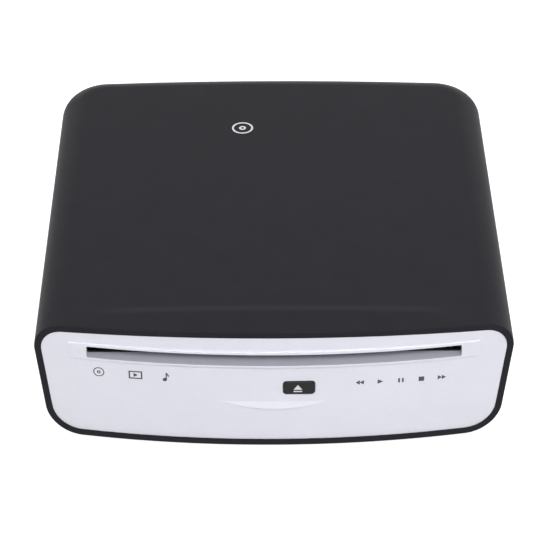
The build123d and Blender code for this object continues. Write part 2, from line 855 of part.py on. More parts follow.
# Disc guide: a bridge over the front of the loader, with a turned-up edge and two pressed beads
guide_front_y = chassis_front_y + sheet
guide_rear_y = guide_screw_points[1][1] + wall_slope
guide_middle_y = (guide_front_y + guide_rear_y) / 2
with BuildPart() as disc_guide:
    with BuildSketch(Plane.YZ.offset(-chassis_half)):
        with BuildLine():
            FilletPolyline(
                (guide_front_y, guide_seat_z + 2 * sheet),
                (guide_front_y + 2 * sheet, guide_seat_z),
                (guide_rear_y, guide_seat_z),
                radius=bend_radius,
            )
            offset(amount=sheet, side=Side.LEFT)
        make_face()
    extrude(amount=2 * chassis_half)
    with BuildSketch(Plane.XY.offset(guide_seat_z + sheet)):
        with Locations((0, guide_middle_y - bead_width), (0, guide_middle_y + 2 * bead_width)):
            SlotOverall(1.5 * chassis_half, bead_width)
    extrude(amount=sheet, taper=30)
    with BuildSketch(Plane.XY.offset(guide_seat_z)):
        with Locations(guide_screw_points):
            Circle(small_screw_radius + thread_gap)
    extrude(amount=2 * sheet, mode=Mode.SUBTRACT)
disc_guide.part.label = "disc_guide"
export_step(disc_guide.part, "parts/disc_guide.step")

with BuildPart() as guide_screws:
    add(
        screws(
            guide_screw_points,
            guide_seat_z + sheet,
            2 * sheet,
            small_screw_radius,
            small_head_radius,
            small_head_height,
        )
    )
guide_screws.part.label = "guide_screws"
export_step(guide_screws.part, "parts/guide_screws.step")

with BuildPart() as guide_felts:
    with BuildSketch(Plane.XY.offset(guide_seat_z)):
        with Locations((0, guide_middle_y - bead_width), (0, guide_middle_y + 2 * bead_width)):
            Rectangle(2 * roller_length, bead_width)
    extrude(amount=-felt_thickness / 2)
guide_felts.part.label = "guide_felts"
export_step(guide_felts.part, "parts/guide_felts.step")

# Roller bracket: two arms and a cross plate that swing on stub pins in the chassis
arm_eye = 2 * shaft_radius + 0.2
with BuildPart() as roller_bracket:
    for arm_x in (-bracket_x - sheet, bracket_x):
        with BuildSketch(Plane.YZ.offset(arm_x)):
            with Locations(pivot, (roller_y, roller_z)):
                Circle(arm_eye)
            with Locations(cam_pin):
                Circle(cam_pin_radius + sheet * 0.8)
            make_hull()
        extrude(amount=sheet)
    with BuildSketch(Plane.YZ.offset(-bracket_x)):
        with Locations((pivot[0], pivot[1])):
            Rectangle(3 * arm_eye, sheet)
    extrude(amount=2 * bracket_x)
    with BuildSketch(Plane.YZ.offset(-bracket_x - sheet)):
        with Locations((roller_y, roller_z)):
            Circle(shaft_radius + fit)
    extrude(amount=2 * bracket_x + 2 * sheet, mode=Mode.SUBTRACT)
    pin_reach = chassis_half + sheet / 2
    add(rods_along_x([pivot], bracket_x, pin_reach, bracket_pin_radius))
    add(rods_along_x([pivot], -pin_reach, -bracket_x, bracket_pin_radius))
    add(rods_along_x([cam_pin], bracket_x, slide_x + slide_thickness + fit, cam_pin_radius))
roller_bracket.part.label = "roller_bracket"
export_step(roller_bracket.part, "parts/roller_bracket.step")

with BuildPart() as roller_shaft:
    shaft_end = gear_x + gear_thickness + sheet / 2
    add(rods_along_x([(roller_y, roller_z)], -bracket_x - sheet - ramp_gap, shaft_end, shaft_radius))
    chamfer(roller_shaft.edges().filter_by(GeomType.CIRCLE), shaft_radius / 5)
roller_shaft.part.label = "roller_shaft"
export_step(roller_shaft.part, "parts/roller_shaft.step")

# Two rubber sleeves, thinner towards the middle so that they touch only the disc's edges
with BuildPart() as feed_rollers:
    for side in (-1, 1):
        with BuildSketch(Plane.XY.offset(roller_z)):
            Polygon(
                (side * roller_middle_gap, roller_y - shaft_radius - fit / 2),
                (side * (roller_middle_gap + roller_length), roller_y - shaft_radius - fit / 2),
                (side * (roller_middle_gap + roller_length), roller_y - roller_radius),
                (side * roller_middle_gap, roller_y - roller_waist),
            )
        revolve(axis=Axis((0, roller_y, roller_z), (1, 0, 0)))
feed_rollers.part.label = "feed_rollers"
export_step(feed_rollers.part, "parts/feed_rollers.step")

# Gears: a tooth of the idler points at the roller gear, and its neighbours have a gap there
tooth_share = 0.45
addendum = 0.9
dedendum = 1.2


def gear_outline(teeth, phase):
    """Draws a spur gear in the open sketch, with a tooth at phase degrees from its local X."""
    pitch_radius = gear_module * teeth / 2
    root = pitch_radius - dedendum * gear_module
    tip = pitch_radius + addendum * gear_module
    half_pitch = pi * gear_module * tooth_share / 2
    half_root = half_pitch + dedendum * gear_module * tan(radians(20)) * 0.8
    half_tip = half_pitch - addendum * gear_module * tan(radians(20)) * 1.2
    Circle(root)
    with PolarLocations(0, teeth, start_angle=phase):
        Polygon(
            (root * 0.9, -half_root),
            (root, -half_root),
            (pitch_radius, -half_pitch),
            (tip, -half_tip),
            (tip, half_tip),
            (pitch_radius, half_pitch),
            (root, half_root),
            (root * 0.9, half_root),
        )


idler_phase = idler_turn + 180
roller_phase = idler_turn + 180 / roller_teeth
tooth_angle = 360 / idler_teeth
tooth_offset = (idler_phase - train_turn + tooth_angle / 2) % tooth_angle - tooth_angle / 2
pinion_phase = train_turn + 180 - tooth_offset * idler_teeth / pinion_teeth + 180 / pinion_teeth
with BuildPart() as roller_gear:
    with BuildSketch(Plane.YZ.offset(gear_x)):
        with Locations((roller_y, roller_z)):
            gear_outline(roller_teeth, roller_phase)
            Circle(shaft_radius + fit / 2, mode=Mode.SUBTRACT)
    extrude(amount=gear_thickness)
roller_gear.part.label = "roller_gear"
export_step(roller_gear.part, "parts/roller_gear.step")

with BuildPart() as idler_gear:
    with BuildSketch(Plane.YZ.offset(gear_x)):
        with Locations(idler):
            gear_outline(idler_teeth, idler_phase)
            Circle(shaft_radius + fit, mode=Mode.SUBTRACT)
    extrude(amount=gear_thickness)
idler_gear.part.label = "idler_gear"
export_step(idler_gear.part, "parts/idler_gear.step")

flange_rise = 1.4
flange_rim = 0.6


def grooved_pulley(centre, radius):
    """A pulley with a groove for a belt whose inside has that radius, between two flanges."""
    groove_half = belt_size / 2 + 2 * fit
    groove_x = pulley_x + pulley_width / 2
    end_x = pulley_x + pulley_width
    with BuildPart() as wheel:
        with BuildSketch(Plane.XY.offset(centre[1])):
            Polygon(
                (pulley_x, centre[0]),
                (pulley_x, centre[0] + radius + flange_rise),
                (pulley_x + flange_rim, centre[0] + radius + flange_rise),
                (groove_x - groove_half, centre[0] + radius - fit),
                (groove_x + groove_half, centre[0] + radius - fit),
                (end_x - flange_rim, centre[0] + radius + flange_rise),
                (end_x, centre[0] + radius + flange_rise),
                (end_x, centre[0]),
            )
        revolve(axis=Axis((0, centre[0], centre[1]), (1, 0, 0)))
    return wheel.part


with BuildPart() as pulley_gear:
    with BuildSketch(Plane.YZ.offset(gear_x)):
        with Locations(pulley):
            gear_outline(pinion_teeth, pinion_phase)
    extrude(amount=gear_thickness)
    add(rods_along_x([pulley], gear_x, pulley_x, 2 * shaft_radius))
    add(grooved_pulley(pulley, pulley_radius))
    add(rods_along_x([pulley], gear_x, case_width, shaft_radius + fit), mode=Mode.SUBTRACT)
pulley_gear.part.label = "pulley_gear"
export_step(pulley_gear.part, "parts/pulley_gear.step")

motor_shaft_x = wall_low_x - 0.75 * motor_length
with BuildPart() as motor_pulley:
    add(grooved_pulley(motor, motor_pulley_radius))
    add(rods_along_x([motor], pulley_x, case_width, motor_shaft_radius), mode=Mode.SUBTRACT)
motor_pulley.part.label = "motor_pulley"
export_step(motor_pulley.part, "parts/motor_pulley.step")

with BuildPart() as motor_shaft:
    add(rods_along_x([motor], motor_shaft_x, pulley_x + pulley_width + fit, motor_shaft_radius))
motor_shaft.part.label = "motor_shaft"
export_step(motor_shaft.part, "parts/motor_shaft.step")

with BuildPart() as drive_belt:
    with BuildSketch(Plane.YZ.offset(pulley_x + (pulley_width - belt_size) / 2)):
        with Locations(pulley):
            Circle(pulley_radius + belt_size)
        with Locations(motor):
            Circle(motor_pulley_radius + belt_size)
        make_hull()
        with BuildSketch(mode=Mode.SUBTRACT):
            with Locations(pulley):
                Circle(pulley_radius)
            with Locations(motor):
                Circle(motor_pulley_radius)
            make_hull()
    extrude(amount=belt_size)
drive_belt.part.label = "drive_belt"
export_step(drive_belt.part, "parts/drive_belt.step")

with BuildPart() as load_motor:
    with BuildSketch(Plane.YZ.offset(wall_low_x)):
        with Locations(motor):
            Circle(motor_radius)
            Rectangle(2 * motor_radius, motor_flat, mode=Mode.INTERSECT)
    extrude(amount=-motor_length)
    chamfer(load_motor.faces().sort_by(Axis.X)[0].edges(), motor_shaft_radius)
    add(rods_along_x([motor], wall_low_x, chassis_half, 3 * motor_shaft_radius))
    end_cap_x = wall_low_x - motor_length - motor_shaft_radius
    add(rods_along_x([motor], end_cap_x, wall_low_x - motor_length, 3 * motor_shaft_radius))
    add(
        rods_along_x([motor], motor_shaft_x - fit, case_width, motor_shaft_radius + fit),
        mode=Mode.SUBTRACT,
    )
load_motor.part.label = "load_motor"
export_step(load_motor.part, "parts/load_motor.step")

# Open retaining rings at the ends of the two gear studs
clip_thickness = 0.4
with BuildPart() as gear_clips:
    for clip_x, centre in ((gear_x + gear_thickness, idler), (pulley_x + pulley_width, pulley)):
        with BuildSketch(Plane.YZ.offset(clip_x + fit)):
            with Locations(centre):
                Circle(shaft_radius + sheet)
                Circle(shaft_radius, mode=Mode.SUBTRACT)
            with Locations((centre[0], centre[1] + 2 * shaft_radius)):
                Rectangle(shaft_radius, 4 * shaft_radius, mode=Mode.SUBTRACT)
        extrude(amount=clip_thickness)
gear_clips.part.label = "gear_clips"
export_step(gear_clips.part, "parts/gear_clips.step")

# Clamp arm heights and the way the slide's ramp lowers it
arm_low_z = slot_z + arm_rise
hinge_y = hinge[0]
arm_top_z = arm_low_z + arm_thickness
ear_rear_y = ear_y + ear_width / 2
ramp_slope = (hinge_y - ear_rear_y) * tan(radians(arm_swing)) / slide_travel
ramp_high = (ear_rear_y + 0.5, arm_low_z - 0.2)
ramp_low_y = ear_rear_y - slide_travel - 7.0
ramp_low = (ramp_low_y, ramp_high[1] - (ramp_high[0] - ramp_low_y) * ramp_slope)
slide_top_z = slide_low_z + slide_height
slide_head_z = slide_low_z + slide_head_height
head_rear_y = cam_pin[0] + 4.0
slide_front_y = face_y + slide_setback
slide_rear_y = ear_y + slide_tail

# Cam slide: a flat bar whose slanted slot lowers the roller and whose ramp lowers the clamp
with BuildPart() as cam_slide:
    with BuildSketch(Plane.YZ.offset(slide_x)):
        Polygon(
            (slide_front_y, slide_low_z),
            (slide_rear_y, slide_low_z),
            (slide_rear_y, slide_top_z),
            (ramp_high[0] + 2.0, slide_top_z),
            (ramp_high[0] + 0.5, slide_top_z + 2.0),
            (ramp_high[0] + 0.5, ramp_high[1]),
            ramp_high,
            ramp_low,
            (ramp_low[0], slide_top_z + 2.0),
            (ramp_low[0] - 1.5, slide_top_z),
            (head_rear_y + 1.0, slide_top_z),
            (head_rear_y, slide_head_z),
            (slide_front_y, slide_head_z),
        )
        slot_end = (lowered_pin[0] - slide_travel, lowered_pin[1])
        track(slot_end, cam_pin, cam_pin_radius + ramp_gap, Mode.SUBTRACT)
        for stud_y, stud_z in slide_studs:
            track((stud_y - slide_travel, stud_z), (stud_y, stud_z), stud_radius + 2 * fit, Mode.SUBTRACT)
        with Locations(((ramp_low[0] + ramp_high[0]) / 2, (slide_top_z + ramp_low[1]) / 2)):
            SlotOverall(slide_travel, slide_height, rotation=90, mode=Mode.SUBTRACT)
    extrude(amount=slide_thickness)
cam_slide.part.label = "cam_slide"
export_step(cam_slide.part, "parts/cam_slide.step")

# Clamp: an arm on a hinge pin across the back, with a puck that turns freely in its nose
with BuildPart() as hinge_pin:
    add(rods_along_x([hinge], -chassis_half - hinge_radius, chassis_half + hinge_radius, hinge_radius))
    chamfer(hinge_pin.edges().filter_by(GeomType.CIRCLE), hinge_radius / 4)
hinge_pin.part.label = "hinge_pin"
export_step(hinge_pin.part, "parts/hinge_pin.step")

knuckle_radius = hinge_radius + 0.95
knuckle_inner_x = 0.7 * arm_half_width
rib_x = arm_nose_radius - arm_thickness
ear_end_x = slide_x + slide_thickness + sheet
with BuildPart() as clamp_arm:
    with BuildSketch(Plane.XY.offset(arm_low_z)):
        with Locations((0, hinge_y - knuckle_radius)):
            Rectangle(2 * arm_half_width, 2 * knuckle_radius)
        with Locations((0, disc_centre_y)):
            Circle(arm_nose_radius)
        make_hull()
        with Locations((0, hinge_y)):
            Rectangle(2 * knuckle_inner_x, 4 * knuckle_radius, mode=Mode.SUBTRACT)
        with Locations((ear_end_x / 2, ear_y)):
            Rectangle(ear_end_x, ear_width)
        with Locations((0, disc_centre_y)):
            Circle(puck_neck_radius + 8 * fit, mode=Mode.SUBTRACT)
        with Locations((0, ear_y + ear_width)):
            SlotOverall(3 * ear_width, 1.5 * ear_width, rotation=90, mode=Mode.SUBTRACT)
    extrude(amount=arm_thickness)
    with BuildSketch(Plane.XY.offset(arm_top_z)):
        for side in (-1, 1):
            with Locations((side * (rib_x + arm_thickness / 2), (disc_centre_y + hinge_y) / 2)):
                Rectangle(arm_thickness, hinge_y - disc_centre_y - 4 * ear_width / 1.5)
    extrude(amount=arm_flange_height)
    for low_x in (-arm_half_width, knuckle_inner_x):
        add(rods_along_x([hinge], low_x, low_x + arm_half_width - knuckle_inner_x, knuckle_radius))
    add(rods_along_x([hinge], -case_width, case_width, hinge_radius + fit), mode=Mode.SUBTRACT)
clamp_arm.part.label = "clamp_arm"
export_step(clamp_arm.part, "parts/clamp_arm.step")

puck_low_z = arm_low_z - 1.9
puck_rim_z = arm_low_z - 0.2
puck_cap_z = arm_top_z + 0.2
with BuildPart() as clamp_puck:
    with Locations((0, disc_centre_y, puck_low_z)):
        Cylinder(puck_radius, puck_rim_z - puck_low_z, align=(Align.CENTER, Align.CENTER, Align.MIN))
    chamfer(clamp_puck.edges().filter_by(GeomType.CIRCLE), sheet / 3)
    with Locations((0, disc_centre_y, puck_rim_z)):
        Cylinder(puck_neck_radius, puck_cap_z - puck_rim_z, align=(Align.CENTER, Align.CENTER, Align.MIN))
    with BuildSketch(Plane.XY.offset(puck_low_z)):
        with Locations((0, disc_centre_y)):
            Circle(puck_recess_radius)
    extrude(amount=arm_thickness, mode=Mode.SUBTRACT)
clamp_puck.part.label = "clamp_puck"
export_step(clamp_puck.part, "parts/clamp_puck.step")

with BuildPart() as puck_cap:
    with BuildSketch(Plane.XY.offset(puck_cap_z)):
        with Locations((0, disc_centre_y)):
            Circle(puck_cap_radius)
    extrude(amount=arm_flange_height)
    chamfer(puck_cap.edges().group_by(Axis.Z)[-1], sheet / 2)
puck_cap.part.label = "puck_cap"
export_step(puck_cap.part, "parts/puck_cap.step")


def rods_along_y(points, low_y, high_y, radius):
    """Round rods from low_y to high_y at those (x, z) points."""
    with BuildPart() as rods:
        with BuildSketch(Plane.XZ.offset(-low_y)):
            with Locations(points):
                Circle(radius)
        extrude(amount=low_y - high_y)
    return rods.part


# Traverse deck: a plate on four rubber dampers that carries the spindle and the pickup's rails
deck_top_z = deck_z + deck_thickness
rod_z = deck_z - rod_drop
lead_z = deck_z - lead_drop
lens_y = disc_centre_y + lens_start
sled_front_y = lens_y - 0.4 * sled_length
sled_rear_y = sled_front_y + sled_length
rail_front_y = disc_centre_y + spindle_motor_radius + 1.5
rail_rear_y = deck_rear_y - 2.3
rail_points = [(-rod_x, rod_z), (rod_x, rod_z)]
with BuildPart() as traverse_deck:
    with BuildSketch(Plane.XY.offset(deck_z)):
        with Locations((0, (deck_front_y + deck_rear_y) / 2)):
            RectangleRounded(2 * deck_half, deck_rear_y - deck_front_y, bend_radius)
        for side in (-1, 1):
            ear_x = side * (deck_half + damper_x) / 2
            with Locations((ear_x, damper_front_y), (ear_x, damper_rear_y)):
                Rectangle(damper_x - deck_half + 2 * bend_radius, 2 * damper_radius)
        with Locations(damper_points):
            Circle(damper_radius + damper_margin)
        with Locations(damper_points):
            Circle(damper_hole, mode=Mode.SUBTRACT)
        with Locations((0, (rail_rear_y + sled_front_y - bend_radius) / 2)):
            sled_window = rail_rear_y - sled_front_y + bend_radius
            Rectangle(2 * (sled_half_width + 6.0), sled_window, mode=Mode.SUBTRACT)
        with Locations((0, disc_centre_y)):
            Circle(7 * spindle_radius, mode=Mode.SUBTRACT)
    extrude(amount=deck_thickness)
    with BuildSketch(Plane.XY.offset(deck_z)):
        for side in (-1, 1):
            with Locations((side * (deck_half - 0.75), (deck_front_y + deck_rear_y) / 2)):
                Rectangle(1.5, deck_rear_y - deck_front_y - 4 * bend_radius)
    extrude(amount=-1.5 * deck_thickness)
    boss_depth = deck_z - rod_z + 2 * rod_radius
    with BuildSketch(Plane.XY.offset(deck_z)):
        for boss_x in (-rod_x, rod_x, lead_x):
            with Locations((boss_x, rail_front_y)):
                Rectangle(7.0, bearing_length, align=(Align.CENTER, Align.MAX))
            with Locations((boss_x, deck_rear_y)):
                Rectangle(7.0, deck_rear_y - rail_rear_y, align=(Align.CENTER, Align.MAX))
    extrude(amount=-boss_depth - lead_radius)
    add(rods_along_y(rail_points, deck_front_y, deck_rear_y, rod_radius + fit / 2), mode=Mode.SUBTRACT)
    add(
        rods_along_y([(lead_x, lead_z)], deck_front_y, deck_rear_y, lead_radius + fit),
        mode=Mode.SUBTRACT,
    )
traverse_deck.part.label = "traverse_deck"
export_step(traverse_deck.part, "parts/traverse_deck.step")

with BuildPart() as deck_dampers:
    damper_third = (deck_z - floor_top_z) / 3
    add(round_posts(damper_points, floor_top_z, floor_top_z + damper_third, damper_radius))
    add(round_posts(damper_points, floor_top_z, deck_z, damper_radius - 1.0))
    add(round_posts(damper_points, deck_z - damper_third, deck_z, damper_radius))
    add(round_posts(damper_points, deck_z, deck_top_z + 0.6, damper_hole - 2 * fit))
deck_dampers.part.label = "deck_dampers"
export_step(deck_dampers.part, "parts/deck_dampers.step")

# Spindle: a flat motor under the deck, its shaft and the turntable with a centring cone
disc_seat_z = feed_z - seat_drop
turntable_top_z = disc_seat_z - ring_thickness
turntable_low_z = turntable_top_z - turntable_thickness
motor_low_z = deck_z - spindle_motor_height
with BuildPart() as spindle_motor:
    with Locations((0, disc_centre_y, motor_low_z)):
        Cylinder(spindle_motor_radius, deck_z - motor_low_z, align=(Align.CENTER, Align.CENTER, Align.MIN))
    chamfer(spindle_motor.edges().group_by(Axis.Z)[0], spindle_radius)
    with Locations((0, disc_centre_y, deck_z)):
        Cylinder(3 * spindle_radius, deck_thickness, align=(Align.CENTER, Align.CENTER, Align.MIN))
    with Locations((0, disc_centre_y, motor_low_z + spindle_radius / 2)):
        Cylinder(
            spindle_radius + fit,
            case_height,
            align=(Align.CENTER, Align.CENTER, Align.MIN),
            mode=Mode.SUBTRACT,
        )
spindle_motor.part.label = "spindle_motor"
export_step(spindle_motor.part, "parts/spindle_motor.step")

with BuildPart() as spindle_shaft:
    shaft_low_z = motor_low_z + spindle_radius / 2 + fit
    shaft_top_z = disc_seat_z + cone_height - ring_thickness
    with Locations((0, disc_centre_y, shaft_low_z)):
        Cylinder(spindle_radius, shaft_top_z - shaft_low_z, align=(Align.CENTER, Align.CENTER, Align.MIN))
spindle_shaft.part.label = "spindle_shaft"
export_step(spindle_shaft.part, "parts/spindle_shaft.step")

with BuildPart() as turntable:
    with BuildSketch(Plane.XZ.offset(-disc_centre_y)):
        Polygon(
            (spindle_radius, deck_top_z + 2 * turntable_thickness / 7),
            (4 * spindle_radius, deck_top_z + 2 * turntable_thickness / 7),
            (4 * spindle_radius, turntable_low_z),
            (turntable_radius, turntable_low_z),
            (turntable_radius, turntable_top_z),
            (cone_radius, turntable_top_z),
            (cone_radius, disc_seat_z + cone_height / 3),
            (cone_radius - cone_height / 2, disc_seat_z + cone_height),
            (spindle_radius, disc_seat_z + cone_height),
        )
    revolve(axis=Axis((0, disc_centre_y, 0), (0, 0, 1)))
turntable.part.label = "turntable"
export_step(turntable.part, "parts/turntable.step")

with BuildPart() as disc_ring:
    with BuildSketch(Plane.XY.offset(turntable_top_z)):
        with Locations((0, disc_centre_y)):
            Circle(turntable_radius - ring_thickness / 2)
            Circle(turntable_radius - ring_thickness / 2 - ring_width, mode=Mode.SUBTRACT)
    extrude(amount=ring_thickness)
disc_ring.part.label = "disc_ring"
export_step(disc_ring.part, "parts/disc_ring.step")

# Pickup: two rails, the sled, the lens holder and the screw that moves the sled
with BuildPart() as guide_rods:
    add(rods_along_y(rail_points, rail_front_y - bearing_length, deck_rear_y - 0.5, rod_radius))
guide_rods.part.label = "guide_rods"
export_step(guide_rods.part, "parts/guide_rods.step")

sled_low_z = deck_z - sled_drop
sled_top_z = sled_low_z + sled_thickness
holder_width = 12.4
holder_length = 10.4
with BuildPart() as pickup_sled:
    with BuildSketch(Plane.XY.offset(sled_low_z)):
        with Locations((0, (sled_front_y + sled_rear_y) / 2)):
            RectangleRounded(2 * sled_half_width, sled_length, bend_radius)
    extrude(amount=sled_top_z - sled_low_z)
    with BuildSketch(Plane.XY.offset(sled_top_z)):
        with Locations((0, lens_y)):
            RectangleRounded(holder_width + 2.0, holder_length + 2.0, 1.0)
    extrude(amount=-2.5, mode=Mode.SUBTRACT)
    with BuildSketch(Plane.XY.offset(sled_top_z)):
        for side in (-1, 1):
            with Locations((side * (sled_half_width - 3.0), (sled_front_y + sled_rear_y) / 2)):
                Rectangle(6.0, sled_length)
    extrude(amount=-1.2, mode=Mode.SUBTRACT)
    add(
        rods_along_y([(rod_x, rod_z)], sled_front_y, sled_rear_y, rod_radius + fit),
        mode=Mode.SUBTRACT,
    )
    with BuildSketch(Plane.XZ.offset(-sled_front_y)):
        with Locations((-rod_x, rod_z)):
            Circle(rod_radius + fit)
            Rectangle(case_width, 2 * (rod_radius + fit), align=(Align.MAX, Align.CENTER))
    extrude(amount=-sled_length, mode=Mode.SUBTRACT)
pickup_sled.part.label = "pickup_sled"
export_step(pickup_sled.part, "parts/pickup_sled.step")

lens_top_z = disc_seat_z - lens_clearance
holder_low_z = sled_top_z - 2.5 + lens_travel + 0.1
with BuildPart() as lens_holder:
    with BuildSketch(Plane.XY.offset(holder_low_z)):
        with Locations((0, lens_y)):
            Rectangle(holder_width, holder_length)
    extrude(amount=sled_top_z - holder_low_z + 0.8)
    chamfer(lens_holder.edges().filter_by(Axis.Z), 1.0)
    with Locations((0, lens_y, sled_top_z)):
        Cone(
            holder_length / 2,
            lens_radius + 0.8,
            lens_top_z - 0.3 - sled_top_z,
            align=(Align.CENTER, Align.CENTER, Align.MIN),
        )
    with Locations((0, lens_y, lens_top_z - 1.3)):
        Cylinder(
            lens_radius,
            case_height,
            align=(Align.CENTER, Align.CENTER, Align.MIN),
            mode=Mode.SUBTRACT,
        )
lens_holder.part.label = "lens_holder"
export_step(lens_holder.part, "parts/lens_holder.step")

with BuildPart() as objective_lens:
    lens_dome = bow_radius(lens_radius, 0.8)
    with BuildSketch(Plane.XY.offset(lens_top_z - 1.3)):
        with Locations((0, lens_y)):
            Circle(lens_radius)
    extrude(amount=1.3)
    with Locations((0, lens_y, lens_top_z - lens_dome)):
        Sphere(lens_dome, mode=Mode.INTERSECT)
objective_lens.part.label = "objective_lens"
export_step(objective_lens.part, "parts/objective_lens.step")

with BuildPart() as sled_nut:
    with BuildSketch(Plane.XY.offset(sled_low_z + 0.2)):
        with Locations((sled_half_width, (sled_front_y + sled_rear_y) / 2)):
            Rectangle(lead_x + nut_margin - sled_half_width, nut_length, align=(Align.MIN, Align.CENTER))
    extrude(amount=2 * (lead_z - sled_low_z))
    chamfer(sled_nut.faces().sort_by(Axis.X)[-1].edges(), 0.6)
    add(
        rods_along_y([(lead_x, lead_z)], sled_front_y, sled_rear_y, lead_radius + fit),
        mode=Mode.SUBTRACT,
    )
sled_nut.part.label = "sled_nut"
export_step(sled_nut.part, "parts/sled_nut.step")

screw_front_y = rail_front_y - bearing_length - 3.0
screw_rear_y = deck_rear_y - 0.5
thread_turns = int((rail_rear_y - rail_front_y) / lead_pitch)
thread_profile = []
for turn in range(thread_turns):
    turn_y = rail_front_y + lead_pitch * (turn + 0.5)
    thread_profile += [
        (lead_x + lead_radius, turn_y - thread_half),
        (lead_x + lead_radius - thread_depth, turn_y),
        (lead_x + lead_radius, turn_y + thread_half),
    ]
with BuildPart() as lead_screw:
    with BuildSketch(Plane.XY.offset(lead_z)):
        Polygon(
            (lead_x, screw_front_y),
            (lead_x + lead_radius, screw_front_y),
            *thread_profile,
            (lead_x + lead_radius, screw_rear_y),
            (lead_x, screw_rear_y),
        )
    revolve(axis=Axis((lead_x, 0, lead_z), (0, 1, 0)))
lead_screw.part.label = "lead_screw"
export_step(lead_screw.part, "parts/lead_screw.step")

with BuildPart() as sled_motor:
    can_rear_y = rail_front_y - bearing_length
    add(rods_along_y([(lead_x, lead_z)], can_rear_y - sled_motor_length, can_rear_y, sled_motor_radius))
    chamfer(sled_motor.edges().group_by(Axis.Y)[0], 0.6)
    add(
        rods_along_y([(lead_x, lead_z)], screw_front_y - fit, case_depth, lead_radius + fit),
        mode=Mode.SUBTRACT,
    )
sled_motor.part.label = "sled_motor"
export_step(sled_motor.part, "parts/sled_motor.step")

# Main board, its components and the rear sockets
with BuildPart() as main_board:
    with BuildSketch(Plane.XY.offset(board_z)):
        with Locations((0, (board_front_y + board_rear_y) / 2)):
            RectangleRounded(board_width, board_rear_y - board_front_y, bend_radius)
        with Locations(board_holes):
            Circle(small_screw_radius + thread_gap, mode=Mode.SUBTRACT)
    extrude(amount=board_thickness)
main_board.part.label = "main_board"
export_step(main_board.part, "parts/main_board.step")

with BuildPart() as board_screws:
    add(
        screws(
            board_holes,
            board_top_z,
            board_top_z - foot_height - wall,
            small_screw_radius,
            small_head_radius,
            small_head_height,
        )
    )
board_screws.part.label = "board_screws"
export_step(board_screws.part, "parts/board_screws.step")

board_middle_y = (board_front_y + board_rear_y) / 2
board_half = board_width / 2
chips = [
    (-12.0, -6.0, 16.0, 16.0, 1.5),
    (16.0, 4.0, 12.0, 12.0, 1.4),
    (23.0 - board_half, 8.0, 10.0, 6.0, 1.4),
    (38.0, -10.0, 8.0, 6.0, 1.6),
    (-14.0, 22.0, 9.0, 7.0, 1.2),
    (36.0, -28.0, 6.0, 9.0, 1.6),
    (-38.0, -22.0, 8.0, 11.0, 1.4),
]
with BuildPart() as board_chips:
    for chip_x, chip_y, chip_width, chip_length, chip_height in chips:
        with BuildSketch(Plane.XY.offset(board_top_z)):
            with Locations((chip_x, board_middle_y + chip_y)):
                Rectangle(chip_width, chip_length)
        extrude(amount=chip_height)
board_chips.part.label = "board_chips"
export_step(board_chips.part, "parts/board_chips.step")

capacitors = [
    (board_half - 13.0, 30.0, 3.2, 6.4),
    (board_half - 13.0, 20.0, 3.2, 6.4),
    (36.0, 14.0, 2.5, 5.4),
    (9.0 - board_half, 28.0, 2.5, 5.4),
    (9.0 - board_half, -14.0, 2.0, 4.4),
    (12.0, -30.0, 2.0, 4.4),
]
with BuildPart() as board_capacitors:
    for can_x, can_y, can_radius, can_height in capacitors:
        with Locations((can_x, board_middle_y + can_y, board_top_z)):
            Cylinder(can_radius, can_height, align=(Align.CENTER, Align.CENTER, Align.MIN))
    chamfer(board_capacitors.edges().filter_by(GeomType.CIRCLE).group_by(Axis.Z)[-1], 0.4)
board_capacitors.part.label = "board_capacitors"
export_step(board_capacitors.part, "parts/board_capacitors.step")

connectors = [
    (0.0, -48.0, 18.0, 4.5, 4.0),
    (-30.0, -46.0, 10.0, 5.0, 5.0),
    (board_half - 9.0, 2.0, 5.0, 12.0, 5.0),
    (8.0 - board_half, 8.0, 5.0, 10.0, 5.0),
]
with BuildPart() as board_connectors:
    for plug_x, plug_y, plug_width, plug_length, plug_height in connectors:
        with BuildSketch(Plane.XY.offset(board_top_z)):
            with Locations((plug_x, board_middle_y + plug_y)):
                Rectangle(plug_width, plug_length)
        extrude(amount=plug_height)
        with BuildSketch(Plane.XY.offset(board_top_z + plug_height)):
            with Locations((plug_x, board_middle_y + plug_y)):
                Rectangle(plug_width - 1.6, plug_length - 1.6)
        extrude(amount=-plug_height / 2, mode=Mode.SUBTRACT)
board_connectors.part.label = "board_connectors"
export_step(board_connectors.part, "parts/board_connectors.step")

socket_face_y = rear_y - socket_inset


def socket_block(x, width, depth, height):
    """A socket's body on the board, with its opening flush with the others at the back."""
    with BuildPart() as block:
        with BuildSketch(Plane.XZ.offset(-socket_face_y)):
            with Locations((x, board_top_z)):
                Rectangle(width, height, align=(Align.CENTER, Align.MIN))
        extrude(amount=depth)
    return block.part


tongue_thickness = 1.8
shell_thickness = 0.5
with BuildPart() as usb_socket:
    add(socket_block(usb_x, usb_width, usb_depth, usb_body_height))
    with BuildSketch(Plane.XZ.offset(-socket_face_y)):
        with Locations((usb_x, board_top_z + usb_body_height / 2)):
            Rectangle(usb_width - 2 * shell_thickness, usb_body_height - 2 * shell_thickness)
    extrude(amount=0.8 * usb_depth, mode=Mode.SUBTRACT)
    with BuildSketch(Plane.XZ.offset(-socket_face_y + 0.8 * usb_depth)):
        with Locations((usb_x, board_top_z + usb_body_height - 2 * shell_thickness - tongue_thickness / 2)):
            Rectangle(usb_width - 6 * shell_thickness, tongue_thickness)
    extrude(amount=-0.65 * usb_depth)
usb_socket.part.label = "usb_socket"
export_step(usb_socket.part, "parts/usb_socket.step")

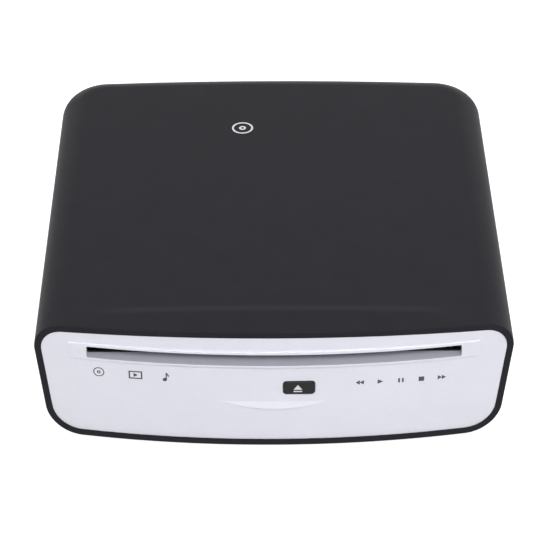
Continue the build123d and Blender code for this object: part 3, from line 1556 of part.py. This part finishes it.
with BuildPart() as power_jack:
    add(socket_block(jack_x, jack_width, jack_depth, jack_body_height))
    jack_centre = [(jack_x, board_top_z + jack_body_height / 2)]
    jack_floor_y = socket_face_y - 0.75 * jack_depth
    add(rods_along_y(jack_centre, jack_floor_y, socket_face_y, jack_bore), mode=Mode.SUBTRACT)
    add(rods_along_y(jack_centre, jack_floor_y, socket_face_y - jack_pin, jack_pin))
power_jack.part.label = "power_jack"
export_step(power_jack.part, "parts/power_jack.step")

with BuildPart() as av_jack:
    add(socket_block(av_x, av_width, av_depth, av_body_height))
    av_centre = [(av_x, board_top_z + av_body_height / 2)]
    add(
        rods_along_y(av_centre, socket_face_y - 0.8 * av_depth, socket_face_y, av_bore),
        mode=Mode.SUBTRACT,
    )
av_jack.part.label = "av_jack"
export_step(av_jack.part, "parts/av_jack.step")
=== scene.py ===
import json
from math import radians

import bmesh
import bpy
from mathutils import Matrix, Vector
from mathutils.bvhtree import BVHTree


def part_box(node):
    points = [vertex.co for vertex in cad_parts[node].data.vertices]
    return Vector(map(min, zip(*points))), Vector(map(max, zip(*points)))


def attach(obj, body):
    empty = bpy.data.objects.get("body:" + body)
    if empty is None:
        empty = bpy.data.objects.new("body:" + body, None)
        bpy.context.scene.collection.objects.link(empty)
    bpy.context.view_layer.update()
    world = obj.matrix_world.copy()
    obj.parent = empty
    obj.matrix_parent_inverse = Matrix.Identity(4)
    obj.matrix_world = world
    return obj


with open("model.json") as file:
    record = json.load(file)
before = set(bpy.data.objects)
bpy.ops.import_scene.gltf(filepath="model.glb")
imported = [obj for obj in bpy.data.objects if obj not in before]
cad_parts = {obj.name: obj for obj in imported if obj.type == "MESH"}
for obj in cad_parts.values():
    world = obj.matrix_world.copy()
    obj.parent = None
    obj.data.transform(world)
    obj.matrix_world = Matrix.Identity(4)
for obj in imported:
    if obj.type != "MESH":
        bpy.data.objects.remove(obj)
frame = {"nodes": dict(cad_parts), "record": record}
record = frame["record"]
body_names = {node: body for body, nodes in record["behaviour"]["bodies"].items() for node in nodes}
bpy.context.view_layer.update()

mm = 0.001
x_axis, y_axis, z_axis = range(3)

# The camera that was fitted to the outlines in the picture, in millimetres and degrees
camera_place = (-5.5, -693.0, 509.2)
camera_target = (0.65, -34.1, 38.0)
camera_roll = 0.09
lens_length = 149.8
sensor_width = 36.0

# The Mix node's places for its share and its two colours, and its colour output's place
mix_share, mix_low_colour, mix_high_colour, mix_colour = 0, 6, 7, 2


class Socket:
    """A shader output that takes part in Python sums."""

    def __init__(self, nodes, output):
        self.nodes = nodes
        self.output = output

    def _maths(self, operation, first, second):
        return self.nodes.make("ShaderNodeMath", {"operation": operation}, {0: first, 1: second})

    def __add__(self, other):
        return self._maths("ADD", self, other)

    __radd__ = __add__

    def __sub__(self, other):
        return self._maths("SUBTRACT", self, other)

    def __rsub__(self, other):
        return self._maths("SUBTRACT", other, self)

    def __mul__(self, other):
        return self._maths("MULTIPLY", self, other)

    __rmul__ = __mul__

    def __abs__(self):
        return self._maths("ABSOLUTE", self, 0)

    def above(self, edge):
        """One where it is over the edge, nought elsewhere."""
        return self._maths("GREATER_THAN", self, edge)

    def clamped(self, low, high):
        return self._maths("MINIMUM", self._maths("MAXIMUM", self, low), high)

    def folded(self, length):
        """Runs up and down between nought and that length."""
        return self._maths("PINGPONG", self, length)

    def between(self, low, high):
        """Runs from low to high as this runs from 0 to 1."""
        return low + (high - low) * self

    def mixed(self, other, share):
        """This pattern with a share of another in its place."""
        return self * (1 - share) + other * share


class Nodes:
    """A node tree being filled."""

    def __init__(self, tree):
        self.tree = tree

    def make(self, kind, settings, inputs, output=0):
        """Adds a node, sets its settings, then feeds its sockets by name or place."""
        node = self.tree.nodes.new(kind)
        for key, value in settings.items():
            setattr(node, key, value)
        for key, value in inputs.items():
            self.feed(node.inputs[key], value)
        return Socket(self, node.outputs[output])

    def feed(self, socket, value):
        if isinstance(value, Socket):
            self.tree.links.new(value.output, socket)
        else:
            socket.default_value = value

    def seen_directly(self):
        """One for rays from the camera, off a mirror or through glass, nought for those that light things."""
        camera = self.make("ShaderNodeLightPath", {}, {}, "Is Camera Ray")
        mirror = self.make("ShaderNodeLightPath", {}, {}, "Is Glossy Ray")
        glass = self.make("ShaderNodeLightPath", {}, {}, "Is Transmission Ray")
        return (camera + mirror + glass).clamped(0, 1)


class Finish(Nodes):
    """A material being built on its Principled shader, with patterns on Object coordinates."""

    def __init__(self, name):
        self.material = bpy.data.materials.new(name)
        self.material.use_nodes = True
        super().__init__(self.material.node_tree)
        self.shader = self.tree.nodes["Principled BSDF"]
        self.place = self.make("ShaderNodeTexCoord", {}, {}, "Object")

    def noise(self, grain, detail=3.0, rough=0.55, stretch=(1, 1, 1)):
        """Noise with blotches about that many millimetres across; a stretch under 1 draws them out."""
        place = self.make("ShaderNodeMapping", {}, {"Vector": self.place, "Scale": stretch})
        inputs = {"Vector": place, "Scale": 1 / (grain * mm), "Detail": detail, "Roughness": rough}
        return self.make("ShaderNodeTexNoise", {}, inputs)

    def flecks(self, grain):
        """Cells about that many millimetres across, each of its own value from 0 to 1."""
        inputs = {"Vector": self.place, "Scale": 1 / (grain * mm)}
        colour = self.make("ShaderNodeTexVoronoi", {}, inputs, "Color")
        return self.make("ShaderNodeSeparateColor", {}, {0: colour})

    def axis(self, index):
        """One of the place's coordinates, in millimetres."""
        return self.make("ShaderNodeSeparateXYZ", {}, {0: self.place}, index) * (1 / mm)

    def blend(self, share, low, high):
        """A colour between two, by a share from 0 to 1."""
        inputs = {mix_share: share, mix_low_colour: low, mix_high_colour: high}
        return self.make("ShaderNodeMix", {"data_type": "RGBA"}, inputs, mix_colour)

    def relief(self, height, depth=1.0):
        """Raises the surface by a height, of which 1 stands for that depth in millimetres."""
        inputs = {"Height": height, "Distance": depth * mm, "Strength": 1.0}
        self.set(Normal=self.make("ShaderNodeBump", {}, inputs))

    def set(self, **values):
        for key, value in values.items():
            self.feed(self.shader.inputs[key.replace("_", " ")], value)


def srgb(red, green, blue):
    """A colour read from a picture, 0 to 255, as the shader takes it: undoes the standard screen curve."""
    def linear(value):
        value = value / 255
        return value / 12.92 if value <= 0.04045 else ((value + 0.055) / 1.055) ** 2.4

    return (linear(red), linear(green), linear(blue), 1.0)


def lighter(colour, factor):
    """The same colour, brighter or darker by that factor."""
    return tuple(factor * part for part in colour[:3]) + (1.0,)


# The top's front strip falls away from a crease across its middle. The crease carries a painted highlight, a
# little lighter, and fades out towards the sides.
brow_line = -70.8
brow_depth = 14.2
brow_fall = 0.4
brow_half_width = 62.0
brow_fade = 14.0
brow_height = 40.0
crease_highlight_width = 2.4
shell_grain_depth = 0.007

# The front panel's bow, its lower third that leans back, the bow of the raised pad, and how far the paint
# reaches in behind them
bow_radius = 427.1
bow_front = -84.8
bow_centre = bow_front + bow_radius
crease_height = 17.0
lower_lean = 0.026
pad_radius = 383.8
pad_front = -85.8
pad_centre = pad_front + pad_radius
paint_depth = 0.3
pad_paint_depth = 0.05

# The slot's opening in the pad, with a hair's breadth around it
slot_middle = 39.0
slot_half_height = 2.32
slot_half_width = 63.32

# The main board's copper tracks: half the way from one to the next, along and across the board, and how far
# they rise
track_half_pitch = 1.1
cross_half_pitch = 1.43
track_rise = 0.02


def case_finish():
    """Black moulded shell, spark-eroded; its top falls towards the front from a faint crease, with a painted
    highlight along it.
    """
    skin = Finish("case_black")
    patches = skin.noise(9.0, detail=4.0)
    speckle = skin.noise(0.55, detail=2.0, rough=0.7)
    # Both grains together, with their contrast raised
    tone = patches.mixed(speckle, 0.65).between(-0.3, 1.3).clamped(0, 1)
    moulded = skin.blend(tone, srgb(29, 29, 33), srgb(39, 39, 44))
    from_middle = abs(skin.axis(x_axis))
    brow = (brow_half_width - from_middle).clamped(0, brow_fade) * (1 / brow_fade)
    brow = brow * skin.axis(z_axis).above(brow_height)
    # Painted highlight: a lighter band along the crease, fading towards the sides
    from_crease = abs(skin.axis(y_axis) - brow_line)
    crease_highlight = (1 - from_crease * (1 / crease_highlight_width)).clamped(0, 1) * brow
    skin.set(
        Base_Color=skin.blend(crease_highlight, moulded, srgb(43, 43, 49)),
        Roughness=skin.noise(1.4).between(0.46, 0.58),
        Specular_IOR_Level=0.07,
    )
    grain = skin.noise(0.32, detail=2.0, rough=0.6)
    fall = (brow_line - skin.axis(y_axis)).clamped(0, brow_depth) * (brow_fall / brow_depth)
    skin.relief(grain * shell_grain_depth - fall * brow)
    return skin.material


def panel_finish():
    """Silver paint, faintly flecked and satin; behind the bowed front it is bare grey, and in the slot that
    grey is painted shade.
    """
    paint = Finish("panel_silver")
    bright = paint.flecks(0.22)
    tone = paint.noise(22.0, detail=2.0).mixed(bright, 0.45)
    silver = paint.blend(tone, srgb(211, 211, 221), srgb(224, 224, 233))
    # Darker grey: bare moulding behind the bowed front, and painted shade inside the slot
    bare_grey_and_slot_shade = paint.blend(paint.noise(4.0), srgb(177, 177, 189), srgb(187, 187, 199))
    across = paint.axis(x_axis)
    along = paint.axis(y_axis)
    upright = paint.axis(z_axis)

    def ahead_of(centre, radius):
        """One in front of an upright cylinder, nought inside it."""
        from_centre = along - centre
        return (across * across + from_centre * from_centre).above(radius * radius)

    leaning = (crease_height - upright).clamped(0, crease_height) * lower_lean
    in_height = (slot_half_height - abs(upright - slot_middle)).above(0)
    in_width = (slot_half_width - abs(across)).above(0)
    # The slot's inside, where the darker grey is painted shade
    slot_shade_mask = in_height * in_width * (1 - ahead_of(pad_centre, pad_radius - pad_paint_depth))
    painted = ahead_of(bow_centre, bow_radius - paint_depth - leaning) * (1 - slot_shade_mask)
    paint.set(
        Base_Color=paint.blend(painted, bare_grey_and_slot_shade, silver),
        Roughness=bright.between(0.4, 0.5),
        Metallic=bright.between(0.06, 0.18) * painted,
    )
    paint.relief(paint.noise(0.5, detail=2.0), depth=0.003)
    return paint.material


def gloss_finish(name, colour, roughness=0.12):
    """Polished plastic with faint flow waves and handling marks."""
    gloss = Finish(name)
    marks = gloss.noise(1.8, detail=5.0, rough=0.7)
    gloss.set(
        Base_Color=gloss.blend(gloss.noise(6.0), colour, lighter(colour, 1.35)),
        Roughness=marks.between(roughness, roughness + 0.1),
        Specular_IOR_Level=0.2,
    )
    gloss.relief(gloss.noise(3.5, detail=1.0), depth=0.0024)
    return gloss.material


def rubber_finish():
    """Black rubber with a dull, slightly dusty surface."""
    rubber = Finish("rubber_black")
    dust = rubber.noise(2.5, detail=5.0, rough=0.65)
    rubber.set(
        Base_Color=rubber.blend(dust, srgb(30, 30, 31), srgb(52, 51, 50)),
        Roughness=dust.between(0.68, 0.83),
        Specular_IOR_Level=0.3,
    )
    rubber.relief(rubber.noise(0.6), depth=0.012)
    return rubber.material


def felt_finish():
    """Short black flock with a soft, fibrous surface."""
    felt = Finish("felt_black")
    fibres = felt.noise(0.25, detail=4.0, rough=0.8, stretch=(1, 2.5, 1))
    felt.set(
        Base_Color=felt.blend(fibres, srgb(18, 18, 20), srgb(46, 45, 47)),
        Roughness=0.95,
        Specular_IOR_Level=0.2,
        Sheen_Weight=0.1,
        Sheen_Roughness=0.5,
    )
    felt.relief(fibres, depth=0.096)
    return felt.material


def metal_finish(name, colour, grain_along, roughness=0.32, tarnish=0.24):
    """Rolled or ground metal: fine lines along one axis, and tarnish that darkens it by up to that share."""
    metal = Finish(name)
    stretch = [1.0, 1.0, 1.0]
    stretch[grain_along] = 0.04
    lines = metal.noise(0.18, detail=3.0, stretch=tuple(stretch))
    clouds = metal.noise(11.0, detail=4.0)
    metal.set(
        Base_Color=metal.blend(clouds.mixed(lines, 0.4), lighter(colour, 1 - tarnish), colour),
        Roughness=lines.between(roughness - 0.1, roughness + 0.04) + clouds.between(0, 0.08),
        Metallic=1.0,
    )
    metal.relief(lines, depth=0.003)
    return metal.material


def moulded_finish(name, dark, light, roughness=0.48, shine=0.5):
    """Plain moulded plastic with faint flow marks and a fine skin."""
    plastic = Finish(name)
    flow = plastic.noise(5.0, detail=3.0, stretch=(1, 0.4, 1))
    plastic.set(
        Base_Color=plastic.blend(flow, dark, light),
        Roughness=plastic.noise(1.0).between(roughness - 0.06, roughness + 0.06),
        Specular_IOR_Level=shine,
    )
    plastic.relief(plastic.noise(0.4), depth=0.004)
    return plastic.material


def board_finish():
    """Green circuit board: copper tracks show as lighter bands under the solder resist."""
    board = Finish("board_green")
    lengthwise = board.axis(x_axis).folded(track_half_pitch).above(track_half_pitch / 2)
    crosswise = board.axis(y_axis).folded(cross_half_pitch).above(track_half_pitch)
    region = board.noise(7.0, detail=0.0).above(0.5)
    tracks = crosswise.mixed(lengthwise, region)
    board.set(
        Base_Color=board.blend(tracks.clamped(0, 1), srgb(18, 74, 44), srgb(32, 104, 62)),
        Roughness=board.noise(1.5).between(0.28, 0.38),
    )
    board.relief(tracks, depth=track_rise)
    return board.material


def lens_finish():
    """The pickup's coated lens: clear, with a bluish tint."""
    lens = Finish("lens_glass")
    lens.set(
        Base_Color=lens.blend(lens.noise(1.5), srgb(150, 178, 226), srgb(196, 190, 232)),
        Roughness=0.04,
        Alpha=0.75,
        IOR=1.5,
    )
    return lens.material


def print_finish(name, colour):
    """Thin screen print, slightly uneven at this scale."""
    ink = Finish(name)
    ink.set(Base_Color=ink.blend(ink.noise(0.3), lighter(colour, 0.86), colour), Roughness=0.55)
    return ink.material


finishes = {
    "case_black": case_finish(),
    "panel_silver": panel_finish(),
    "button_black": gloss_finish("button_black", srgb(22, 22, 24)),
    "rubber_black": rubber_finish(),
    "felt_black": felt_finish(),
    "sheet_steel": metal_finish("sheet_steel", srgb(198, 199, 200), y_axis, roughness=0.36),
    "screw_steel": metal_finish("screw_steel", srgb(120, 121, 126), z_axis, roughness=0.34),
    "bright_steel": metal_finish("bright_steel", srgb(214, 214, 216), y_axis, roughness=0.22, tarnish=0.12),
    "gear_plastic": moulded_finish("gear_plastic", srgb(214, 210, 196), srgb(228, 224, 212), roughness=0.4),
    "brass": metal_finish("brass", srgb(214, 178, 108), x_axis, roughness=0.28),
    "board_green": board_finish(),
    "chip_black": moulded_finish("chip_black", srgb(26, 26, 28), srgb(36, 36, 38), roughness=0.55, shine=0.3),
    "can_silver": metal_finish("can_silver", srgb(206, 206, 208), z_axis, roughness=0.3, tarnish=0.12),
    "connector_white": moulded_finish("connector_white", srgb(222, 218, 206), srgb(234, 231, 222)),
    "socket_black": gloss_finish("socket_black", srgb(20, 20, 21), roughness=0.25),
    "loader_black": moulded_finish("loader_black", srgb(36, 36, 38), srgb(48, 48, 50), shine=0.3),
    "loader_grey": moulded_finish("loader_grey", srgb(112, 113, 116), srgb(128, 129, 132)),
    "motor_can": metal_finish("motor_can", srgb(196, 197, 198), x_axis, roughness=0.3, tarnish=0.144),
    "lens_glass": lens_finish(),
}
for part in record["subparts"]:
    surface = frame["nodes"][part["node"]].data
    surface.materials.clear()
    surface.materials.append(finishes[part["material_slot"]])

# Print: its height above the surface, the longest edge that isn't divided to follow a curve, how far out the
# rays start that lay it down, and the sides of its rings and dots
ink_depth = 0.03 * mm
longest_print_edge = 1.5 * mm
ray_start = 100.0 * mm
ring_sides = 48
dot_sides = 32

# The ways that printed surfaces look, each with its drawing's rightward way
front = ((0, -1, 0), (1, 0, 0))
top = ((0, 0, 1), (1, 0, 0))
back = ((0, 1, 0), (-1, 0, 0))


def new_piece(name, mesh_maker, finish, body):
    """A mesh object at the origin, made by a function that fills a bmesh, riding on a body."""
    shape = bmesh.new()
    mesh_maker(shape)
    bmesh.ops.recalc_face_normals(shape, faces=shape.faces)
    mesh = bpy.data.meshes.new(name)
    shape.to_mesh(mesh)
    shape.free()
    piece = bpy.data.objects.new(name, mesh)
    bpy.context.scene.collection.objects.link(piece)
    mesh.materials.append(finish)
    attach(piece, body)


def printed(name, draw, size, node, centre, side, finish):
    """Print laid on a CAD node's surface: draw() makes it flat at that size, then it drops onto the node.

    side gives the way that the surface looks and the drawing's rightward way on it."""
    cast = BVHTree.FromObject(frame["nodes"][node], bpy.context.evaluated_depsgraph_get())
    outwards, right = (Vector(way) for way in side)
    up = outwards.cross(right)

    def lay(shape):
        draw(shape, size)
        bmesh.ops.subdivide_edges(
            shape,
            edges=[edge for edge in shape.edges if edge.calc_length() > longest_print_edge],
            cuts=4,
            use_grid_fill=True,
        )
        bmesh.ops.triangulate(shape, faces=shape.faces)
        for vert in shape.verts:
            spot = Vector(centre) + right * vert.co.x + up * vert.co.y
            hit = cast.ray_cast(spot + outwards * ray_start, -outwards)[0]
            vert.co = hit + outwards * ink_depth
        under = bmesh.ops.extrude_face_region(shape, geom=list(shape.faces))["geom"]
        sunk = [v for v in under if isinstance(v, bmesh.types.BMVert)]
        bmesh.ops.translate(shape, vec=-2 * ink_depth * outwards, verts=sunk)

    new_piece(name, lay, finish, body_names[node])


def outline(shape, corners):
    """A flat face on the XY plane with those corners."""
    shape.faces.new([shape.verts.new((x, y, 0)) for x, y in corners])


def rectangle(shape, left, right, low, high):
    outline(shape, [(left, low), (right, low), (right, high), (left, high)])


def triangle(shape, left, right, half):
    """A triangle that points from one x to another."""
    corners = [(left, -half), (right, 0), (left, half)]
    outline(shape, corners if right > left else corners[::-1])


def ring(shape, outer_radius, inner_radius):
    """A flat ring around the origin on the XY plane."""
    rim = bmesh.ops.create_circle(shape, radius=outer_radius, segments=ring_sides)["verts"]
    edges = list({edge for vert in rim for edge in vert.link_edges})
    inner = bmesh.ops.extrude_edge_only(shape, edges=edges)["geom"]
    moved = [v for v in inner if isinstance(v, bmesh.types.BMVert)]
    share = inner_radius / outer_radius
    bmesh.ops.scale(shape, vec=(share, share, 1), verts=moved)


# The eject sign: its triangle's height, its bar and the gap between them
eject_rise = 2.1 * mm
eject_bar = 0.45 * mm
eject_gap = 0.5 * mm


def eject_sign(shape, width):
    """A triangle over a bar."""
    low = -(eject_rise + eject_gap + eject_bar) / 2
    foot = low + eject_bar + eject_gap
    rectangle(shape, -width / 2, width / 2, low, low + eject_bar)
    outline(shape, [(-width / 2, foot), (width / 2, foot), (0, foot + eject_rise)])


def disc_sign(shape, size):
    line = 0.09 * size
    ring(shape, size / 2, size / 2 - line)
    ring(shape, size / 6, size / 14)


def frame_sign(shape, size):
    """A screen with a play sign in it."""
    half_height = size / 2
    half_width = 0.7 * size
    bar = size / 7
    for low in (-half_height, half_height - bar):
        rectangle(shape, -half_width, half_width, low, low + bar)
    for left in (-half_width, half_width - bar):
        rectangle(shape, left, left + bar, bar - half_height, half_height - bar)
    triangle(shape, -size / 5, size / 4, size / 4)


def note_sign(shape, size):
    """A note: its head, stem and flag."""
    half = size / 2
    head = size / 5
    stem = size / 9
    head_middle = -size / 10
    right = head_middle + head
    place = Matrix.Translation((head_middle, head - half, 0))
    bmesh.ops.create_circle(shape, cap_ends=True, radius=head, segments=dot_sides, matrix=place)
    rectangle(shape, right - stem, right, head - half, half)
    outline(shape, [(right, half), (right, size / 4), (right + head, 0), (right + head, size / 5)])


def back_sign(shape, size):
    triangle(shape, 0, -size / 2, size / 3)
    triangle(shape, size / 2, 0, size / 3)


def play_sign(shape, size):
    triangle(shape, -size / 3, size / 3, size / 3)


def pause_sign(shape, size):
    inner = size / 8
    outer = size / 3
    rectangle(shape, -outer, -inner, -outer, outer)
    rectangle(shape, inner, outer, -outer, outer)


def stop_sign(shape, size):
    rectangle(shape, -size / 3, size / 3, -size / 3, size / 3)


def next_sign(shape, size):
    triangle(shape, -size / 2, 0, size / 3)
    triangle(shape, 0, size / 2, size / 3)


def power_sign(shape, size):
    """Direct current: a whole line over a broken one."""
    bar = size / 10
    dash = size / 4
    rectangle(shape, -size / 2, size / 2, bar, 2 * bar)
    for left in (-size / 2, -dash / 2, size / 2 - dash):
        rectangle(shape, left, left + dash, -2 * bar, -bar)


white_ink = print_finish("white_ink", srgb(222, 222, 226))
grey_ink = print_finish("grey_ink", srgb(62, 62, 68))
dim_ink = print_finish("dim_ink", srgb(150, 150, 154))

# The sign on the button, a little left of its middle
button_low, button_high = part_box("eject_button")
eject_width = 2.95 * mm
eject_offset = Vector((-0.4 * mm, 0, 0))
eject_place = (button_low + button_high) / 2 + eject_offset
printed("eject_sign", eject_sign, eject_width, "eject_button", eject_place, front, white_ink)

# The front's plain signs: each one's name, drawing, middle in x and z, and size, in millimetres
face_signs = (
    ("disc", disc_sign, -59.5, 30.6, 3.8),
    ("frame", frame_sign, -47.0, 30.4, 3.3),
    ("note", note_sign, -36.7, 30.2, 3.6),
    ("back", back_sign, 29.0, 28.0, 2.8),
    ("play", play_sign, 36.0, 28.0, 2.8),
    ("pause", pause_sign, 43.0, 28.0, 2.8),
    ("stop", stop_sign, 50.0, 28.0, 2.8),
    ("next", next_sign, 57.0, 28.0, 2.8),
)
for sign, drawing, x, z, size in face_signs:
    spot = (x * mm, 0, z * mm)
    printed(sign + "_sign", drawing, size * mm, "faceplate", spot, front, grey_ink)

top_sign_place = (-11.0 * mm, 44.0 * mm, 0)
top_sign_size = 8.0 * mm
printed("top_disc_sign", disc_sign, top_sign_size, "top_cover", top_sign_place, top, white_ink)

# The signs over the rear sockets: each one's name, drawing, socket and size in millimetres
socket_sign_rise = 3.6 * mm
socket_signs = (
    ("power", power_sign, "power_jack", 4.2),
    ("screen", frame_sign, "av_jack", 2.8),
    ("plug", disc_sign, "usb_socket", 2.8),
)
for sign, drawing, socket_name, size in socket_signs:
    socket_low, socket_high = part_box(socket_name)
    spot = ((socket_low.x + socket_high.x) / 2, 0, socket_high.z + socket_sign_rise)
    printed(sign + "_sign", drawing, size * mm, "base_tray", spot, back, dim_ink)

# The floor is grey for the light that falls on it, and rays from the camera see it lit up to white. The sky
# is white to them too, and lights the object by a smaller share.
floor_size = 12.0
floor_level = -0.2 * mm
floor_grey = 0.5
floor_glow = 0.86
sky_light = 0.28
floor = Finish("floor_white")
unlit = floor.make("ShaderNodeEmission", {}, {"Color": (0, 0, 0, 1), "Strength": 0.0})
glow = floor.make("ShaderNodeEmission", {}, {"Color": (1, 1, 1, 1), "Strength": floor_glow})
shown = floor.make("ShaderNodeMixShader", {}, {0: floor.seen_directly(), 1: unlit, 2: glow})
floor.set(Base_Color=(floor_grey, floor_grey, floor_grey, 1), Roughness=0.9)
floor_lit = floor.make("ShaderNodeAddShader", {}, {0: Socket(floor, floor.shader.outputs[0]), 1: shown})
floor.feed(floor.tree.nodes["Material Output"].inputs["Surface"], floor_lit)
bpy.ops.mesh.primitive_plane_add(size=floor_size, location=(0, 0, floor_level))
floor_sheet = bpy.context.object
floor_sheet.name = "floor"
floor_sheet.data.materials.append(floor.material)

world = bpy.data.worlds.new("studio")
world.use_nodes = True
bpy.context.scene.world = world
sky = Nodes(world.node_tree)
background = world.node_tree.nodes["Background"]
sky.feed(background.inputs["Color"], (1, 1, 1, 1))
sky.feed(background.inputs["Strength"], sky.seen_directly().between(sky_light, 1))

# The soft boxes, which all look at one point: each one's name, its place, width and height in metres, and its
# power in watts
lamp_target = (0, 0, 0.03)
lamps = (
    ("front_lamp", (0.15, -1.03, 1.05), 1.4, 0.5, 16.0),
    ("top_lamp", (0.0, 0.15, 1.5), 1.6, 1.2, 5.5),
    ("left_lamp", (-1.3, -0.3, 0.6), 0.8, 0.8, 3.0),
    ("right_lamp", (1.3, -0.3, 0.6), 0.8, 0.8, 4.0),
    ("back_lamp", (0.0, 1.3, 0.1), 1.2, 0.3, 3.0),
)


def aimed(place, target):
    """The matrix of a lamp or camera at a place that looks at a target."""
    way = Vector(target) - Vector(place)
    return Matrix.Translation(place) @ way.to_track_quat("-Z", "Y").to_matrix().to_4x4()


for name, place, width, height, power in lamps:
    lamp = bpy.data.lights.new(name, "AREA")
    lamp.shape = "RECTANGLE"
    lamp.size = width
    lamp.size_y = height
    lamp.energy = power
    holder = bpy.data.objects.new(name, lamp)
    bpy.context.scene.collection.objects.link(holder)
    holder.matrix_world = aimed(place, lamp_target)

camera_data = bpy.data.cameras.new("camera")
camera_data.lens = lens_length
camera_data.sensor_width = sensor_width
camera_data.sensor_fit = "HORIZONTAL"
camera = bpy.data.objects.new("camera", camera_data)
bpy.context.scene.collection.objects.link(camera)
roll = Matrix.Rotation(radians(camera_roll), 4, "Z")
camera.matrix_world = aimed(Vector(camera_place) * mm, Vector(camera_target) * mm) @ roll
bpy.context.scene.camera = camera
bpy.context.scene.view_settings.view_transform = "Standard"
